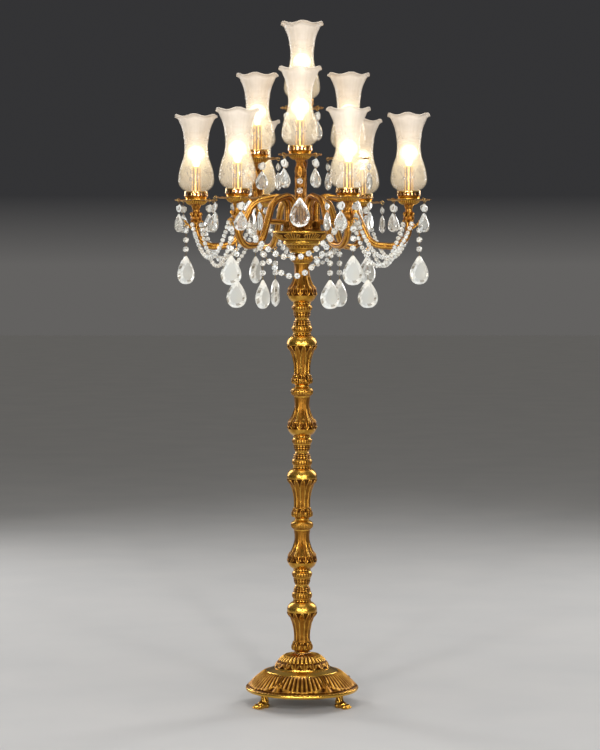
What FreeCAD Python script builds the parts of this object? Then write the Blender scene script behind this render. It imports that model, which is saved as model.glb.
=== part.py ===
import FreeCAD, Part
import math
import os
import Sketcher

# Ten-light crystal floor lamp: domed base on three paws, baluster column, six low arms,
# three high arms and one light on top. Millimetres, +Z up, origin on the floor on the axis.
# Angles are degrees about +Z from +X, and the front of the lamp looks towards -Y.

Vector = FreeCAD.Vector
up = Vector(0, 0, 1)
doc = FreeCAD.newDocument("floor_lamp")
sheet = doc.addObject("Spreadsheet::Sheet", "Sizes")

sizes = {
    # base
    "skirt_radius": 141, "skirt_top": 92, "skirt_wall": 4,
    "dome_radius": 69, "dome_height": 34,
    "weight_radius": 92, "weight_bottom": 44, "weight_height": 18, "weight_boss_radius": 30,
    "cover_thickness": 2, "cover_hole_radius": 17,
    "foot_reach": 107, "foot_count": 3, "foot_turn": -30, "leg_radius": 10, "leg_top": 47,
    "ankle_height": 13, "paw_length": 21, "paw_width": 13, "paw_rise": 11,
    "toe_radius": 5.6, "toe_flat": 0.5, "toe_count": 4,
    "boss_radius": 8, "boss_height": 18, "stud_radius": 2.5, "stud_length": 22,
    "inlet_turn": 35, "inlet_height": 51, "inlet_radius": 6, "inlet_bore": 3.6,
    "inlet_length": 24, "inlet_reach": 121,
    # column
    "pipe_radius": 6.5, "pipe_wall": 1.5, "pipe_bottom": 33, "fit_gap": 0.3,
    "nut_radius": 14, "nut_height": 8,
    "collar_radius": 21, "collar_height": 4,
    "vase_radius": 37.5, "upper_vase_height": 124, "lower_vase_height": 126.7,
    "knop_radius": 24, "knop_height": 82, "vase_cavity": 15.5, "vase_lip": 6, "unit_count": 3,
    # hub
    "cone_radius": 47.5, "cone_height": 26, "cone_cavity": 19, "cone_cavity_height": 18,
    "bowl_radius": 75, "bowl_height": 28, "bowl_wall": 4, "bowl_floor": 6, "bowl_foot_radius": 46,
    "spider_radius": 48, "spider_height": 16, "spider_neck_radius": 20, "spider_neck_height": 46,
    # arms, each rise or dip counted from the top of the centre pipe
    "low_count": 6, "low_turn": -65.5, "low_reach": 267, "low_rise": 105.9,
    "low_tube": 7.8, "low_root": 36, "low_arch_rise": 97.9, "low_arch_width": 86,
    "low_arch_out_rise": 79.9, "low_belly_width": 95, "low_belly_dip": 29.1,
    "low_belly_out_dip": 35.1, "low_bend": 27, "low_wide_bend": 46,
    "high_count": 3, "high_turn": -92, "high_reach": 133, "high_rise": 212.9,
    "high_tube": 6.5, "high_root_rise": 26.9, "high_belly_rise": 32.9, "high_bend": 50,
    "top_rise": 335.9, "tube_wall": 1.6,
    "leaf_radius": 13, "low_leaf_height": 44, "high_leaf_height": 112,
    "stem_radius": 11, "stem_bead_radius": 14,
    "hook_wire": 1.5, "eye_radius": 3.5, "eye_wire": 0.9,
    "hook_reach": 26, "low_hook_drop": 85, "high_hook_drop": 74.5,
    "inner_hook_inset": 7, "inner_hook_dip": 38.1, "lug_radius": 2,
    "horn_out": 9, "horn_in": 13, "horn_out_side": 20, "horn_in_side": 18,
    "horn_drop": 75, "horn_ball": 2.5,
    # light fittings, heights counted from the top of the fitter cup
    "pan_radius": 53, "pan_drop": 22, "pan_wall": 1.6, "pan_stack": 35,
    "pan_funnel_radius": 27, "pan_floor_radius": 11, "pan_hole_radius": 1.3,
    "pan_hole_inset": 3,
    "cup_radius": 29.3, "cup_height": 16.5, "cup_wall": 1.5, "cup_floor": 2,
    "sleeve_radius": 12, "sleeve_wall": 1, "sleeve_top": 62,
    "nipple_radius": 4.5, "socket_radius": 10, "socket_length": 34, "socket_bore": 7.6,
    "bulb_radius": 22.5, "bulb_cap_radius": 7, "bulb_cap_length": 20, "bulb_neck": 12,
    # glass shade
    "glass_radius": 45.2, "glass_neck": 27.3, "glass_height": 192.5, "glass_wall": 2.4,
    "scallop_count": 6, "valley_width": 34, "valley_depth": 7,
    # crystals
    "bead_radius": 7.5, "bead_length": 14, "bead_pitch": 23.5, "pin_radius": 0.7,
    "front_pitch": 20, "side_bead_radius": 5.5, "side_bead_length": 10.4, "side_pitch": 13.2,
    "drop_width": 50, "drop_height": 71, "drop_thickness": 20,
    "trim_width": 33, "trim_height": 46, "trim_thickness": 12,
    "oct_width": 20, "oct_thickness": 9, "trim_ring": 4, "trim_wire": 0.6,
    "trim_hang": 5, "trim_pin": 3,
    "swag_sag": 92, "swag_inner_sag": 112, "swag_front_sag": 137,
}
# Heights from the floor and reaches from the axis that follow from the sizes.
places = {
    "column_foot": "skirt_top + dome_height + collar_height",
    "unit_height": "upper_vase_height + lower_vase_height + knop_height",
    "hub_foot": "column_foot + unit_height * unit_count",
    "bowl_foot": "hub_foot + cone_height",
    "spider_foot": "bowl_foot + bowl_floor",
    "pipe_top": "spider_foot + spider_height",
    "low_seat": "pipe_top + low_rise",
    "high_seat": "pipe_top + high_rise",
    "top_seat": "pipe_top + top_rise",
    "low_arch_out": "low_root + low_arch_width",
    "low_belly_in": "low_reach - low_belly_width",
    "inner_hook_reach": "low_belly_in - inner_hook_inset",
    "inner_hook_height": "pipe_top - inner_hook_dip",
}

for row, (alias, value) in enumerate(sizes.items(), start=1):
    sheet.set(f"A{row}", alias)
    sheet.set(f"B{row}", str(value))
    sheet.setAlias(f"B{row}", alias)
doc.recompute()
for row, (alias, formula) in enumerate(places.items(), start=len(sizes) + 1):
    sheet.set(f"A{row}", alias)
    sheet.setAlias(f"B{row}", alias)
    sheet.set(f"B{row}", "=" + formula)
doc.recompute()

# Outline tables: shares of the piece's own radius and height, from its foot upwards. A third
# entry marks a point that an arc passes through on its way to the next one.
upper_vase_shares = [(0.60, 0), (0.985, 0.16, "arc"), (0.76, 0.345), (0.50, 0.60, "arc"),
                     (0.58, 0.80), (0.70, 0.835), (0.735, 0.885, "arc"), (0.70, 0.94),
                     (0.49, 0.985), (0.49, 1)]
lower_vase_shares = [(0.48, 0), (0.48, 0.016), (0.64, 0.05), (0.69, 0.11, "arc"),
                     (0.64, 0.175), (0.54, 0.235), (0.54, 0.40, "arc"), (0.66, 0.585),
                     (0.80, 0.69), (1, 0.85, "arc"), (0.61, 1)]
knop_shares = [(0.90, 0), (0.90, 0.06), (1, 0.13), (1.04, 0.20, "arc"), (1, 0.26),
               (0.88, 0.32), (0.84, 0.40), (0.68, 0.50), (0.84, 0.60), (0.88, 0.70),
               (1, 0.79), (1.04, 0.84, "arc"), (1, 0.89), (0.88, 0.94), (0.88, 1)]
skirt_outer_shares = [(0.511, 1), (0.596, 0.95, "arc"), (0.709, 0.87), (0.858, 0.674, "arc"),
                      (0.965, 0.511), (1, 0.446, "arc"), (0.972, 0.397)]
skirt_inner_shares = [(0.945, 0.45), (0.84, 0.645, "arc"), (0.70, 0.825), (0.59, 0.90, "arc")]
dome_outer_shares = [(1, 0), (0.86, 0.52, "arc"), (0.60, 0.94), (0.33, 1)]
dome_inner_shares = [(0.57, 0.83), (0.80, 0.45, "arc"), (0.94, 0)]
cone_shares = [(0.63, 0), (0.66, 0.15), (0.78, 0.55, "arc"), (1, 0.85), (1, 1)]
glass_outer_shares = [(0.64, 0.012), (0.93, 0.076, "arc"), (1, 0.165), (0.915, 0.29, "arc"),
                      (0.73, 0.42), (0.646, 0.571, "arc"), (0.70, 0.70), (0.79, 0.83, "arc"),
                      (0.985, 0.94), (1.09, 0.972, "arc"), (1.184, 0.96)]
glass_inner_shares = [(1.184, 0.985), (1.08, 1, "arc"), (0.955, 0.965), (0.74, 0.835, "arc"),
                      (0.647, 0.70), (0.593, 0.571, "arc"), (0.677, 0.42), (0.862, 0.29, "arc"),
                      (0.947, 0.165), (0.875, 0.08, "arc"), (0.59, 0.022)]
# Right half of each flat crystal's outline, from its top down, as shares of half its width
# and of its height.
drop_shares = [(0.12, 1), (0.50, 0.80), (0.85, 0.58), (1, 0.38), (0.93, 0.20),
               (0.62, 0.06), (0.22, 0)]
octagon_shares = [(0.41, 1), (1, 0.71), (1, 0.29), (0.41, 0)]
table_share = 0.55
waist_share = 0.44
low_leaf_shares = [(0.62, 0), (0.95, 0.16), (1, 0.30), (0.70, 0.50), (0.62, 0.72), (0.85, 1)]
high_leaf_shares = [(0.55, 0), (0.88, 0.08), (0.95, 0.45), (0.90, 0.82), (0.62, 0.92), (0.85, 1)]
bead_shares = [(0.22, 0), (0.80, 0.18), (1, 0.38), (1, 0.62), (0.80, 0.82), (0.22, 1)]


def num(expression):
    return float(sheet.evalExpression(expression))


def at(angle, reach, height, side=0):
    """Point at a reach from the axis along an angle, and a distance to the side of it."""
    turn = math.radians(angle)
    return Vector(reach * math.cos(turn) - side * math.sin(turn),
                  reach * math.sin(turn) + side * math.cos(turn), height)


def cells(expression):
    """A size expression with each alias read from the sheet."""
    words = []
    for word in expression.split():
        words.append("Sizes." + word if word in sizes or word in places else word)
    return " ".join(words)


def scaled(shares, radius, height, foot="0"):
    """Outline points of a share table, as expressions."""
    points = []
    for share in shares:
        point = (f"{radius} * {share[0]}", f"{foot} + {height} * {share[1]}")
        points.append(point + tuple(share[2:]))
    return points


def fix(sketch, geometry, end, x_size, y_size):
    """Ties one sketch point to two size expressions."""
    for kind, size in (("DistanceX", x_size), ("DistanceY", y_size)):
        if num(size) == 0:
            axis = -2 if kind == "DistanceX" else -1
            sketch.addConstraint(Sketcher.Constraint("PointOnObject", geometry, end, axis))
        else:
            link = Sketcher.Constraint(kind, -1, 1, geometry, end, num(size))
            sketch.setExpression(f"Constraints[{sketch.addConstraint(link)}]", cells(size))


def draw(body, name, role, points, lift="0"):
    """Closed outline on one of the body's origin planes, with every point tied to the sheet."""
    sketch = body.newObject("Sketcher::SketchObject", name)
    plane = [item for item in body.Origin.OriginFeatures if item.Role == role][0]
    sketch.AttachmentSupport = [(plane, "")]
    sketch.MapMode = "FlatFace"
    sketch.setExpression("AttachmentOffset.Base.z", cells(lift))
    corners = [index for index, point in enumerate(points) if len(point) == 2]
    place = [Vector(num(point[0]), num(point[1]), 0) for point in points]
    ends = []
    for index in corners:
        follow = (index + 1) % len(points)
        if len(points[follow]) == 3:
            last = (follow + 1) % len(points)
            edge = sketch.addGeometry(Part.Arc(place[index], place[follow], place[last]), False)
            mark = sketch.addGeometry(Part.Point(place[follow]), True)
            fix(sketch, mark, 1, points[follow][0], points[follow][1])
            sketch.addConstraint(Sketcher.Constraint("PointOnObject", mark, 1, edge))
        else:
            edge = sketch.addGeometry(Part.LineSegment(place[index], place[follow]), False)
        swapped = sketch.getPoint(edge, 1).distanceToPoint(place[index]) > num("fit_gap") / 1000
        ends.append((edge, 2, 1) if swapped else (edge, 1, 2))
    for step, (edge, start, finish) in enumerate(ends):
        nearby = ends[step - 1]
        sketch.addConstraint(Sketcher.Constraint("Coincident", nearby[0], nearby[2], edge, start))
        fix(sketch, edge, start, points[corners[step]][0], points[corners[step]][1])
    return sketch


def put(piece, spin="0", reach="0", height="0"):
    """Placement tied to the sheet: turned about the axis, then moved out and up."""
    piece.Placement = FreeCAD.Placement(Vector(), FreeCAD.Rotation(up, 1))
    piece.setExpression("Placement.Rotation.Angle", cells(spin))
    piece.setExpression("Placement.Base.x", cells(f"{reach} * cos( {spin} )"))
    piece.setExpression("Placement.Base.y", cells(f"{reach} * sin( {spin} )"))
    piece.setExpression("Placement.Base.z", cells(height))


def turned(label, points, height="0"):
    """A piece turned about the vertical axis."""
    body = doc.addObject("PartDesign::Body", label)
    body.Label = label
    spin = body.newObject("PartDesign::Revolution", label + "_turn")
    spin.Profile = draw(body, label + "_outline", "XZ_Plane", points)
    spin.ReferenceAxis = (spin.Profile[0], ["V_Axis"])
    spin.Angle = 360
    body.Tip = spin
    put(body, height=height)
    return body


def copy_of(pattern, label, spin="0", reach="0", height="0"):
    """One more piece of the same casting, in a body of its own."""
    body = doc.addObject("PartDesign::Body", label)
    body.Label = label
    base = doc.addObject("PartDesign::FeatureBase", label + "_form")
    body.Group = [base]
    base.BaseFeature = pattern
    body.Tip = base
    put(body, spin, reach, height)
    return body


def solid(kind, label, measures, spin="0", reach="0", height="0"):
    """A primitive whose measures are tied to the sheet."""
    piece = doc.addObject(kind, label)
    for measure, size in measures.items():
        piece.setExpression(measure, cells(size))
    put(piece, spin, reach, height)
    return piece


def joined(kind, label, first, others):
    """A boolean of pieces: a fusion of all, or the first one with the others cut away."""
    result = doc.addObject(kind, label)
    if kind == "Part::MultiFuse":
        result.Shapes = [first] + others
    else:
        result.Base = first
        result.Tool = others[0]
    return result


def group(label, shapes):
    """Several separate solids that share one node."""
    piece = doc.addObject("Part::Feature", label)
    piece.Shape = Part.makeCompound(shapes)
    piece.Placement = FreeCAD.Placement()
    return piece


def moved(shape, point, spin=0, tilt=None):
    """A copy of a shape turned about +Z, or tilted to a direction, and set at a point."""
    turn = FreeCAD.Rotation(up, spin) if tilt is None else FreeCAD.Rotation(up, tilt)
    result = shape.copy()
    result.Placement = FreeCAD.Placement(point, turn).multiply(shape.Placement)
    return result


def rod(start, end, radius):
    return Part.makeCylinder(radius, start.distanceToPoint(end), start, end - start)


def spun(points, axis_reach):
    """A ring-shaped solid: an outline of (radius, height) turned about a line at a reach."""
    corners = [Vector(axis_reach + radius, 0, height) for radius, height in points]
    face = Part.Face(Part.makePolygon(corners + corners[:1]))
    return face.revolve(Vector(axis_reach, 0, 0), up, 360)


def rounded_path(points, bends):
    """Straight runs joined by tangent arcs."""
    edges = []
    start = points[0]
    for before, corner, after, bend in zip(points, points[1:], points[2:], bends):
        back = (before - corner).normalize()
        ahead = (after - corner).normalize()
        half = back.getAngle(ahead) / 2
        reach = bend / math.tan(half)
        centre = corner + (back + ahead).normalize() * (bend / math.sin(half))
        entry = corner + back * reach
        leave = corner + ahead * reach
        middle = centre + (corner - centre).normalize() * bend
        edges.append(Part.LineSegment(start, entry).toShape())
        edges.append(Part.Arc(entry, middle, leave).toShape())
        start = leave
    edges.append(Part.LineSegment(start, points[-1]).toShape())
    return Part.Wire(edges)


def tube(path, start, direction, radius, wall):
    """A bent tube along a path."""
    shells = []
    for ring_radius in (radius, radius - wall):
        ring = Part.Wire(Part.makeCircle(ring_radius, start, direction))
        shells.append(path.makePipeShell([ring], True, False))
    return shells[0].cut(shells[1])


nodes = []


def keep(piece):
    nodes.append(piece)
    return piece


bore = "( pipe_radius + fit_gap )"

# Base: skirt with three foot bosses and a cord inlet, gadrooned dome, ballast, cover.
skirt_shell = turned("skirt_shell", [(bore, "skirt_top")]
                     + scaled(skirt_outer_shares, "skirt_radius", "skirt_top")
                     + scaled(skirt_inner_shares, "skirt_radius", "skirt_top")
                     + [("skirt_radius / 2", "skirt_top - skirt_wall"),
                        (bore, "skirt_top - skirt_wall")])
foot_angles = [f"( foot_turn + {k} * 360 / foot_count )" for k in range(int(num("foot_count")))]
bosses = [solid("Part::Cylinder", f"foot_boss_{k + 1}",
                {"Radius": "boss_radius", "Height": "boss_height"},
                angle, "foot_reach", "leg_top") for k, angle in enumerate(foot_angles)]
stud_holes = [solid("Part::Cylinder", f"stud_hole_{k + 1}",
                    {"Radius": "stud_radius + fit_gap / 2", "Height": "stud_length + fit_gap * 2"},
                    angle, "foot_reach", "leg_top - stud_length / 2 - fit_gap")
              for k, angle in enumerate(foot_angles)]
inlet_start = at(num("inlet_turn"), num("inlet_reach"), num("inlet_height"))
inlet_end = at(num("inlet_turn"), num("inlet_reach + inlet_length"), num("inlet_height"))
inlet_hole = group("inlet_hole", [rod(inlet_start, inlet_end, num("inlet_radius + fit_gap / 2"))])
skirt_holes = joined("Part::MultiFuse", "skirt_holes", inlet_hole, stud_holes)
skirt_casting = joined("Part::MultiFuse", "skirt_casting", skirt_shell, bosses)
keep(joined("Part::Cut", "base_skirt", skirt_casting, [skirt_holes]))

keep(turned("base_dome", [(bore, "dome_height")]
            + [point for point in scaled(dome_outer_shares, "dome_radius", "dome_height")][::-1]
            + scaled(dome_inner_shares, "dome_radius", "dome_height")[::-1]
            + [(bore, "dome_height * 0.83")], "skirt_top"))

weight_top = "skirt_top - skirt_wall - weight_bottom"
keep(turned("base_weight", [(bore, "0"), ("weight_radius", "0"), ("weight_radius", "weight_height"),
                            ("weight_boss_radius", "weight_height"),
                            ("weight_boss_radius", weight_top), (bore, weight_top)],
            "weight_bottom"))
keep(turned("base_cover", [("cover_hole_radius", "0"), ("weight_radius", "0"),
                           ("weight_radius", "cover_thickness"),
                           ("cover_hole_radius", "cover_thickness")],
            "weight_bottom - cover_thickness"))


def paw_foot():
    """One lion paw at a reach along +X, cut flat where it stands."""
    reach = num("foot_reach")
    leg_radius = num("leg_radius")
    paw_length = num("paw_length")
    toe_radius = num("toe_radius")
    toe_height = toe_radius - num("toe_flat")
    ankle = Vector(reach, 0, num("ankle_height"))
    leg = Part.makeCone(leg_radius * 0.75, leg_radius, num("leg_top - ankle_height"), ankle)
    parts = [Part.makeSphere(leg_radius, ankle)]
    instep = Part.makeSphere(1)
    stretch = FreeCAD.Matrix(paw_length, 0, 0, reach + paw_length * 0.4,
                             0, num("paw_width"), 0, 0,
                             0, 0, num("paw_rise"), num("paw_rise") - num("toe_flat"))
    parts.append(instep.transformGeometry(stretch))
    toes = int(num("toe_count"))
    for toe in range(toes):
        side = (toe - (toes - 1) / 2) * toe_radius * 1.25
        out = reach + paw_length * 1.2 - abs(side) * 0.45
        parts.append(Part.makeSphere(toe_radius, Vector(out, side, toe_height)))
    foot = leg.multiFuse(parts)
    floor_size = num("skirt_radius")
    below = Part.makeBox(floor_size, floor_size, floor_size,
                         Vector(reach - floor_size / 2, -floor_size / 2, -floor_size))
    hole = Part.makeCylinder(num("stud_radius + fit_gap / 2"), num("stud_length / 2 + fit_gap"),
                             Vector(reach, 0, num("leg_top - stud_length / 2 - fit_gap")))
    return foot.cut(below).cut(hole)


foot = paw_foot()
keep(group("paw_feet", [moved(foot, Vector(), num(angle)) for angle in foot_angles]))
stud = Part.makeCylinder(num("stud_radius"), num("stud_length"),
                         Vector(num("foot_reach"), 0, num("leg_top - stud_length / 2")))
keep(group("foot_studs", [moved(stud, Vector(), num(angle)) for angle in foot_angles]))
inlet_body = rod(inlet_start, inlet_end, num("inlet_radius"))
keep(group("cord_inlet", [inlet_body.cut(rod(inlet_start, inlet_end, num("inlet_bore")))]))

# Column: a threaded pipe carries three stacked units of vase, knop and vase.
keep(turned("foot_collar", [(bore, "0"), ("collar_radius", "0"),
                            ("collar_radius * 1.06", "collar_height / 2", "arc"),
                            ("collar_radius", "collar_height"), (bore, "collar_height")],
            "skirt_top + dome_height"))
pipe_length = "( pipe_top - pipe_bottom )"
keep(turned("centre_pipe", [("pipe_radius - pipe_wall", "0"), ("pipe_radius", "0"),
                            ("pipe_radius", pipe_length),
                            ("pipe_radius - pipe_wall", pipe_length)], "pipe_bottom"))


def column_piece(label, shares, radius, height):
    """A hollow vase: outline outside, pipe bore through both lips, wider cavity between."""
    inside = [(bore, height), (bore, f"{height} - vase_lip"),
              ("vase_cavity", f"{height} - vase_lip"), ("vase_cavity", "vase_lip"),
              (bore, "vase_lip"), (bore, "0")]
    return turned(label, scaled(shares, radius, height) + inside)


def stack(label, pattern, lift):
    """The same casting once in every unit of the column."""
    shapes = []
    for unit in range(int(num("unit_count"))):
        height = num(f"column_foot + unit_height * {unit} + {lift}")
        shapes.append(moved(pattern.Shape, Vector(0, 0, height)))
    keep(group(label, shapes))


lower_vase = column_piece("lower_vase", lower_vase_shares, "vase_radius", "lower_vase_height")
upper_vase = column_piece("upper_vase", upper_vase_shares, "vase_radius", "upper_vase_height")
knop = turned("knop", scaled(knop_shares, "knop_radius", "knop_height")
              + [(bore, "knop_height"), (bore, "0")])
doc.recompute()
stack("column_lower_vases", lower_vase, "0")
stack("column_knops", knop, "lower_vase_height")
stack("column_upper_vases", upper_vase, "lower_vase_height + knop_height")

# Hub: cone and engraved bowl, the spider that takes the arms, and its lock nuts.
keep(turned("hub_cone", scaled(cone_shares, "cone_radius", "cone_height")
            + [("cone_cavity", "cone_height"),
               ("cone_cavity", "cone_height - cone_cavity_height"),
               (bore, "cone_height - cone_cavity_height"), (bore, "0")], "hub_foot"))
keep(turned("hub_bowl", [(bore, "0"), ("bowl_foot_radius", "0"), ("bowl_radius * 0.77", "bowl_wall"),
                         ("bowl_radius * 0.97", "bowl_height * 0.86"),
                         ("bowl_radius", "bowl_height * 0.93", "arc"),
                         ("bowl_radius * 0.97", "bowl_height"),
                         ("bowl_radius * 0.97 - bowl_wall", "bowl_height"),
                         ("bowl_radius * 0.77 - bowl_wall", "bowl_floor"),
                         (bore, "bowl_floor")], "bowl_foot"))
spider_top = "spider_height + spider_neck_height"
keep(turned("arm_spider", [(bore, "0"), ("spider_radius", "0"), ("spider_radius", "spider_height"),
                           ("spider_neck_radius", "spider_height"),
                           ("spider_neck_radius", spider_top),
                           ("spider_neck_radius - bowl_wall", spider_top),
                           ("spider_neck_radius - bowl_wall", "spider_height"),
                           (bore, "spider_height")], "spider_foot"))
nut_places = ["weight_bottom - nut_height", "bowl_foot - nut_height"]
nuts = []
for place in nut_places:
    sides = 6
    corners = [at(360 * side / sides, num("nut_radius"), num(place)) for side in range(sides)]
    plate = Part.Face(Part.makePolygon(corners + corners[:1]))
    blank = plate.extrude(up * num("nut_height"))
    nuts.append(blank.cut(Part.makeCylinder(num(bore), num("nut_height"),
                                            Vector(0, 0, num(place)))))
keep(group("lock_nuts", nuts))

# Arms: swan-neck tubes with a leaf casting under each light and hooks for the crystals.


def leaf_casting(reach, top, height, shares):
    """Leaf socket at the top of a riser."""
    radius = num("leaf_radius")
    inside = num("nipple_radius + fit_gap")
    outline = [(radius * out, top - height * (1 - lift)) for out, lift in shares]
    return spun([(inside, top - height)] + outline + [(inside, top)], reach)


def eye(pivot):
    """Wire ring that a pendant hangs in, its lowest wire on the pivot."""
    centre = pivot + up * num("eye_radius")
    return Part.makeTorus(num("eye_radius"), num("eye_wire"), centre, Vector(1, 0, 0))


def outer_hook(reach, pivot):
    """Curl that reaches outwards from the riser and drops to its eye."""
    crest = Vector(pivot.x, 0, pivot.z + 2 * num("eye_radius") + num("hook_wire"))
    return [rod(Vector(reach, 0, crest.z), crest, num("hook_wire")),
            Part.makeSphere(num("hook_wire"), crest), eye(pivot)]


def horn_tips(reach, height):
    """Tips of the four little horns that the bead swags hang from."""
    tips = []
    for side in (1, -1):
        tips.append(Vector(reach + num("horn_out"), side * num("horn_out_side"), height))
        tips.append(Vector(reach - num("horn_in"), side * num("horn_in_side"), height))
    return tips


low_top = num("low_seat - pan_stack")
low_horn_height = num("low_seat - horn_drop")


def low_arm():
    reach = num("low_reach")
    points = [Vector(num("low_root"), 0, num("pipe_top")),
              Vector(num("low_root"), 0, num("pipe_top + low_arch_rise")),
              Vector(num("low_arch_out"), 0, num("pipe_top + low_arch_out_rise")),
              Vector(num("low_belly_in"), 0, num("pipe_top - low_belly_dip")),
              Vector(reach, 0, num("pipe_top - low_belly_out_dip")), Vector(reach, 0, low_top)]
    wide = num("low_wide_bend")
    path = rounded_path(points, [num("low_bend"), wide, wide, wide])
    arm = tube(path, points[0], up, num("low_tube"), num("tube_wall"))
    outer = Vector(reach + num("hook_reach"), 0, num("low_seat - low_hook_drop"))
    inner = Vector(num("inner_hook_reach"), 0, num("inner_hook_height"))
    bosses = [leaf_casting(reach, low_top, num("low_leaf_height"), low_leaf_shares)]
    bosses += outer_hook(reach, outer)
    for tip in horn_tips(reach, low_horn_height):
        bosses.append(rod(Vector(reach, 0, low_horn_height), tip, num("hook_wire")))
        bosses.append(Part.makeSphere(num("horn_ball"), tip))
    lug_top = inner + up * num("low_tube * 2.4")
    bosses.append(rod(inner + up * num("eye_radius * 2"), lug_top, num("lug_radius")))
    bosses.append(eye(inner))
    return arm.multiFuse(bosses).cut(inside_of(path, points[0], up, num("low_tube")))


def high_arm():
    reach = num("high_reach")
    top = num("high_seat - pan_stack")
    root = num("spider_neck_radius + fit_gap")
    points = [Vector(root, 0, num("pipe_top + high_root_rise")),
              Vector(reach, 0, num("pipe_top + high_belly_rise")), Vector(reach, 0, top)]
    path = rounded_path(points, [num("high_bend")])
    arm = tube(path, points[0], points[1] - points[0], num("high_tube"), num("tube_wall"))
    pivot = Vector(reach + num("hook_reach"), 0, num("high_seat - high_hook_drop"))
    bosses = [leaf_casting(reach, top, num("high_leaf_height"), high_leaf_shares)]
    bosses += outer_hook(reach, pivot)
    fused = arm.multiFuse(bosses)
    return fused.cut(inside_of(path, points[0], points[1] - points[0], num("high_tube")))


def inside_of(path, start, direction, radius):
    """The wire way inside a tube."""
    ring = Part.Wire(Part.makeCircle(radius - num("tube_wall"), start, direction))
    return path.makePipeShell([ring], True, False)


def pattern(label, shape):
    """A form that several pieces of the lamp repeat."""
    piece = doc.addObject("Part::Feature", label)
    piece.Shape = shape
    return piece


low_angles = [f"( low_turn + {k} * 360 / low_count )" for k in range(int(num("low_count")))]
high_angles = [f"( high_turn + {k} * 360 / high_count )" for k in range(int(num("high_count")))]
low_pattern = pattern("low_arm_form", low_arm())
high_pattern = pattern("high_arm_form", high_arm())
for k, angle in enumerate(low_angles):
    keep(copy_of(low_pattern, f"lower_arm_{k + 1}", angle))
for k, angle in enumerate(high_angles):
    keep(copy_of(high_pattern, f"upper_arm_{k + 1}", angle))

stem_foot = f"( spider_foot + {spider_top} )"
stem_height = f"( top_seat - pan_stack - {stem_foot} )"
stem_bore = "( nipple_radius + fit_gap )"
keep(turned("centre_stem", [("spider_neck_radius", "0"), ("spider_neck_radius", "bowl_wall"),
                            ("stem_radius", "bowl_wall * 3"), ("stem_radius", f"{stem_height} * 0.45"),
                            ("stem_bead_radius", f"{stem_height} * 0.5", "arc"),
                            ("stem_radius", f"{stem_height} * 0.55"),
                            ("stem_radius", f"{stem_height} * 0.9"),
                            ("stem_bead_radius", stem_height), (stem_bore, stem_height),
                            (stem_bore, "0")], stem_foot))

# Light fittings: the same pan, cup, candle, socket and bulb under every shade.
pan_under = "( pan_stack - pan_drop )"
pan_profile = turned("pan_form", [
    (stem_bore, "0"), ("pan_floor_radius", "0"), ("pan_funnel_radius * 0.8", f"{pan_under} * 0.32", "arc"),
    ("pan_funnel_radius", f"{pan_under} - pan_wall"), ("pan_radius", f"{pan_under} - pan_wall"),
    ("pan_radius", pan_under), ("pan_funnel_radius", "pan_stack - cup_height"),
    (stem_bore, "pan_stack - cup_height")])
cup_inside = "( cup_radius - cup_wall )"
cup_form = turned("cup_form", [(stem_bore, "0"), ("cup_radius * 0.93", "0"),
                               ("cup_radius", "cup_height * 0.5", "arc"),
                               ("cup_radius", "cup_height"), (cup_inside, "cup_height"),
                               (cup_inside, "cup_floor"), (stem_bore, "cup_floor")])
sleeve_height = "( cup_height - cup_floor + sleeve_top )"
sleeve_form = turned("sleeve_form", [("sleeve_radius - sleeve_wall", "0"), ("sleeve_radius", "0"),
                                     ("sleeve_radius", sleeve_height),
                                     ("sleeve_radius - sleeve_wall", sleeve_height)])
socket_top = f"( pan_stack + sleeve_top )"
socket_form = turned("socket_form", [
    ("0", "0"), ("nipple_radius", "0"), ("nipple_radius", f"{socket_top} - socket_length"),
    ("socket_radius", f"{socket_top} - socket_length"), ("socket_radius", socket_top),
    ("socket_bore", socket_top), ("socket_bore", f"{socket_top} - bulb_cap_length - bulb_neck / 2"),
    ("0", f"{socket_top} - bulb_cap_length - bulb_neck / 2")])
globe_foot = "( bulb_cap_length + bulb_neck * 0.75 )"
bulb_form = turned("bulb_form", [
    ("0", "0"), ("bulb_cap_radius", "0"), ("bulb_cap_radius", "bulb_cap_length"),
    ("bulb_radius * 0.55", f"{globe_foot} + bulb_radius * 0.18"),
    ("bulb_radius", f"{globe_foot} + bulb_radius * 0.94", "arc"),
    ("bulb_radius * 0.16", f"{globe_foot} + bulb_radius * 1.98"),
    ("0", f"{globe_foot} + bulb_radius * 1.98")])

# Glass shades: straight fitter neck, round belly, waist and flared rim with six valleys.
glass_stand = "( cup_height - cup_floor - fit_gap )"
glass_form = turned("glass_form", [("glass_neck - glass_wall", "0"), ("glass_neck", "0"),
                                   ("glass_neck", glass_stand)]
                    + scaled(glass_outer_shares, "glass_radius", "glass_height", glass_stand)
                    + scaled(glass_inner_shares, "glass_radius", "glass_height", glass_stand)
                    + [("glass_neck - glass_wall", glass_stand)])
rim_top = f"{glass_stand} + glass_height"
valley = glass_form.newObject("PartDesign::Pocket", "glass_valley")
valley.Profile = draw(glass_form, "glass_valley_outline", "XZ_Plane", [
    ("0 - valley_width / 2", rim_top), ("0", f"{rim_top} - valley_depth", "arc"),
    ("valley_width / 2", rim_top), ("valley_width / 2", f"{rim_top} + valley_depth"),
    ("0 - valley_width / 2", f"{rim_top} + valley_depth")])
valley.Type = "ThroughAll"
valley.Midplane = True
valleys = glass_form.newObject("PartDesign::PolarPattern", "glass_valleys")
valleys.Originals = [valley]
valleys.Axis = (valley.Profile[0], ["V_Axis"])
half_count = int(num("scallop_count / 2"))
valleys.Angle = 180 - 180 / half_count
valleys.Occurrences = half_count
glass_form.Tip = valleys

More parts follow.
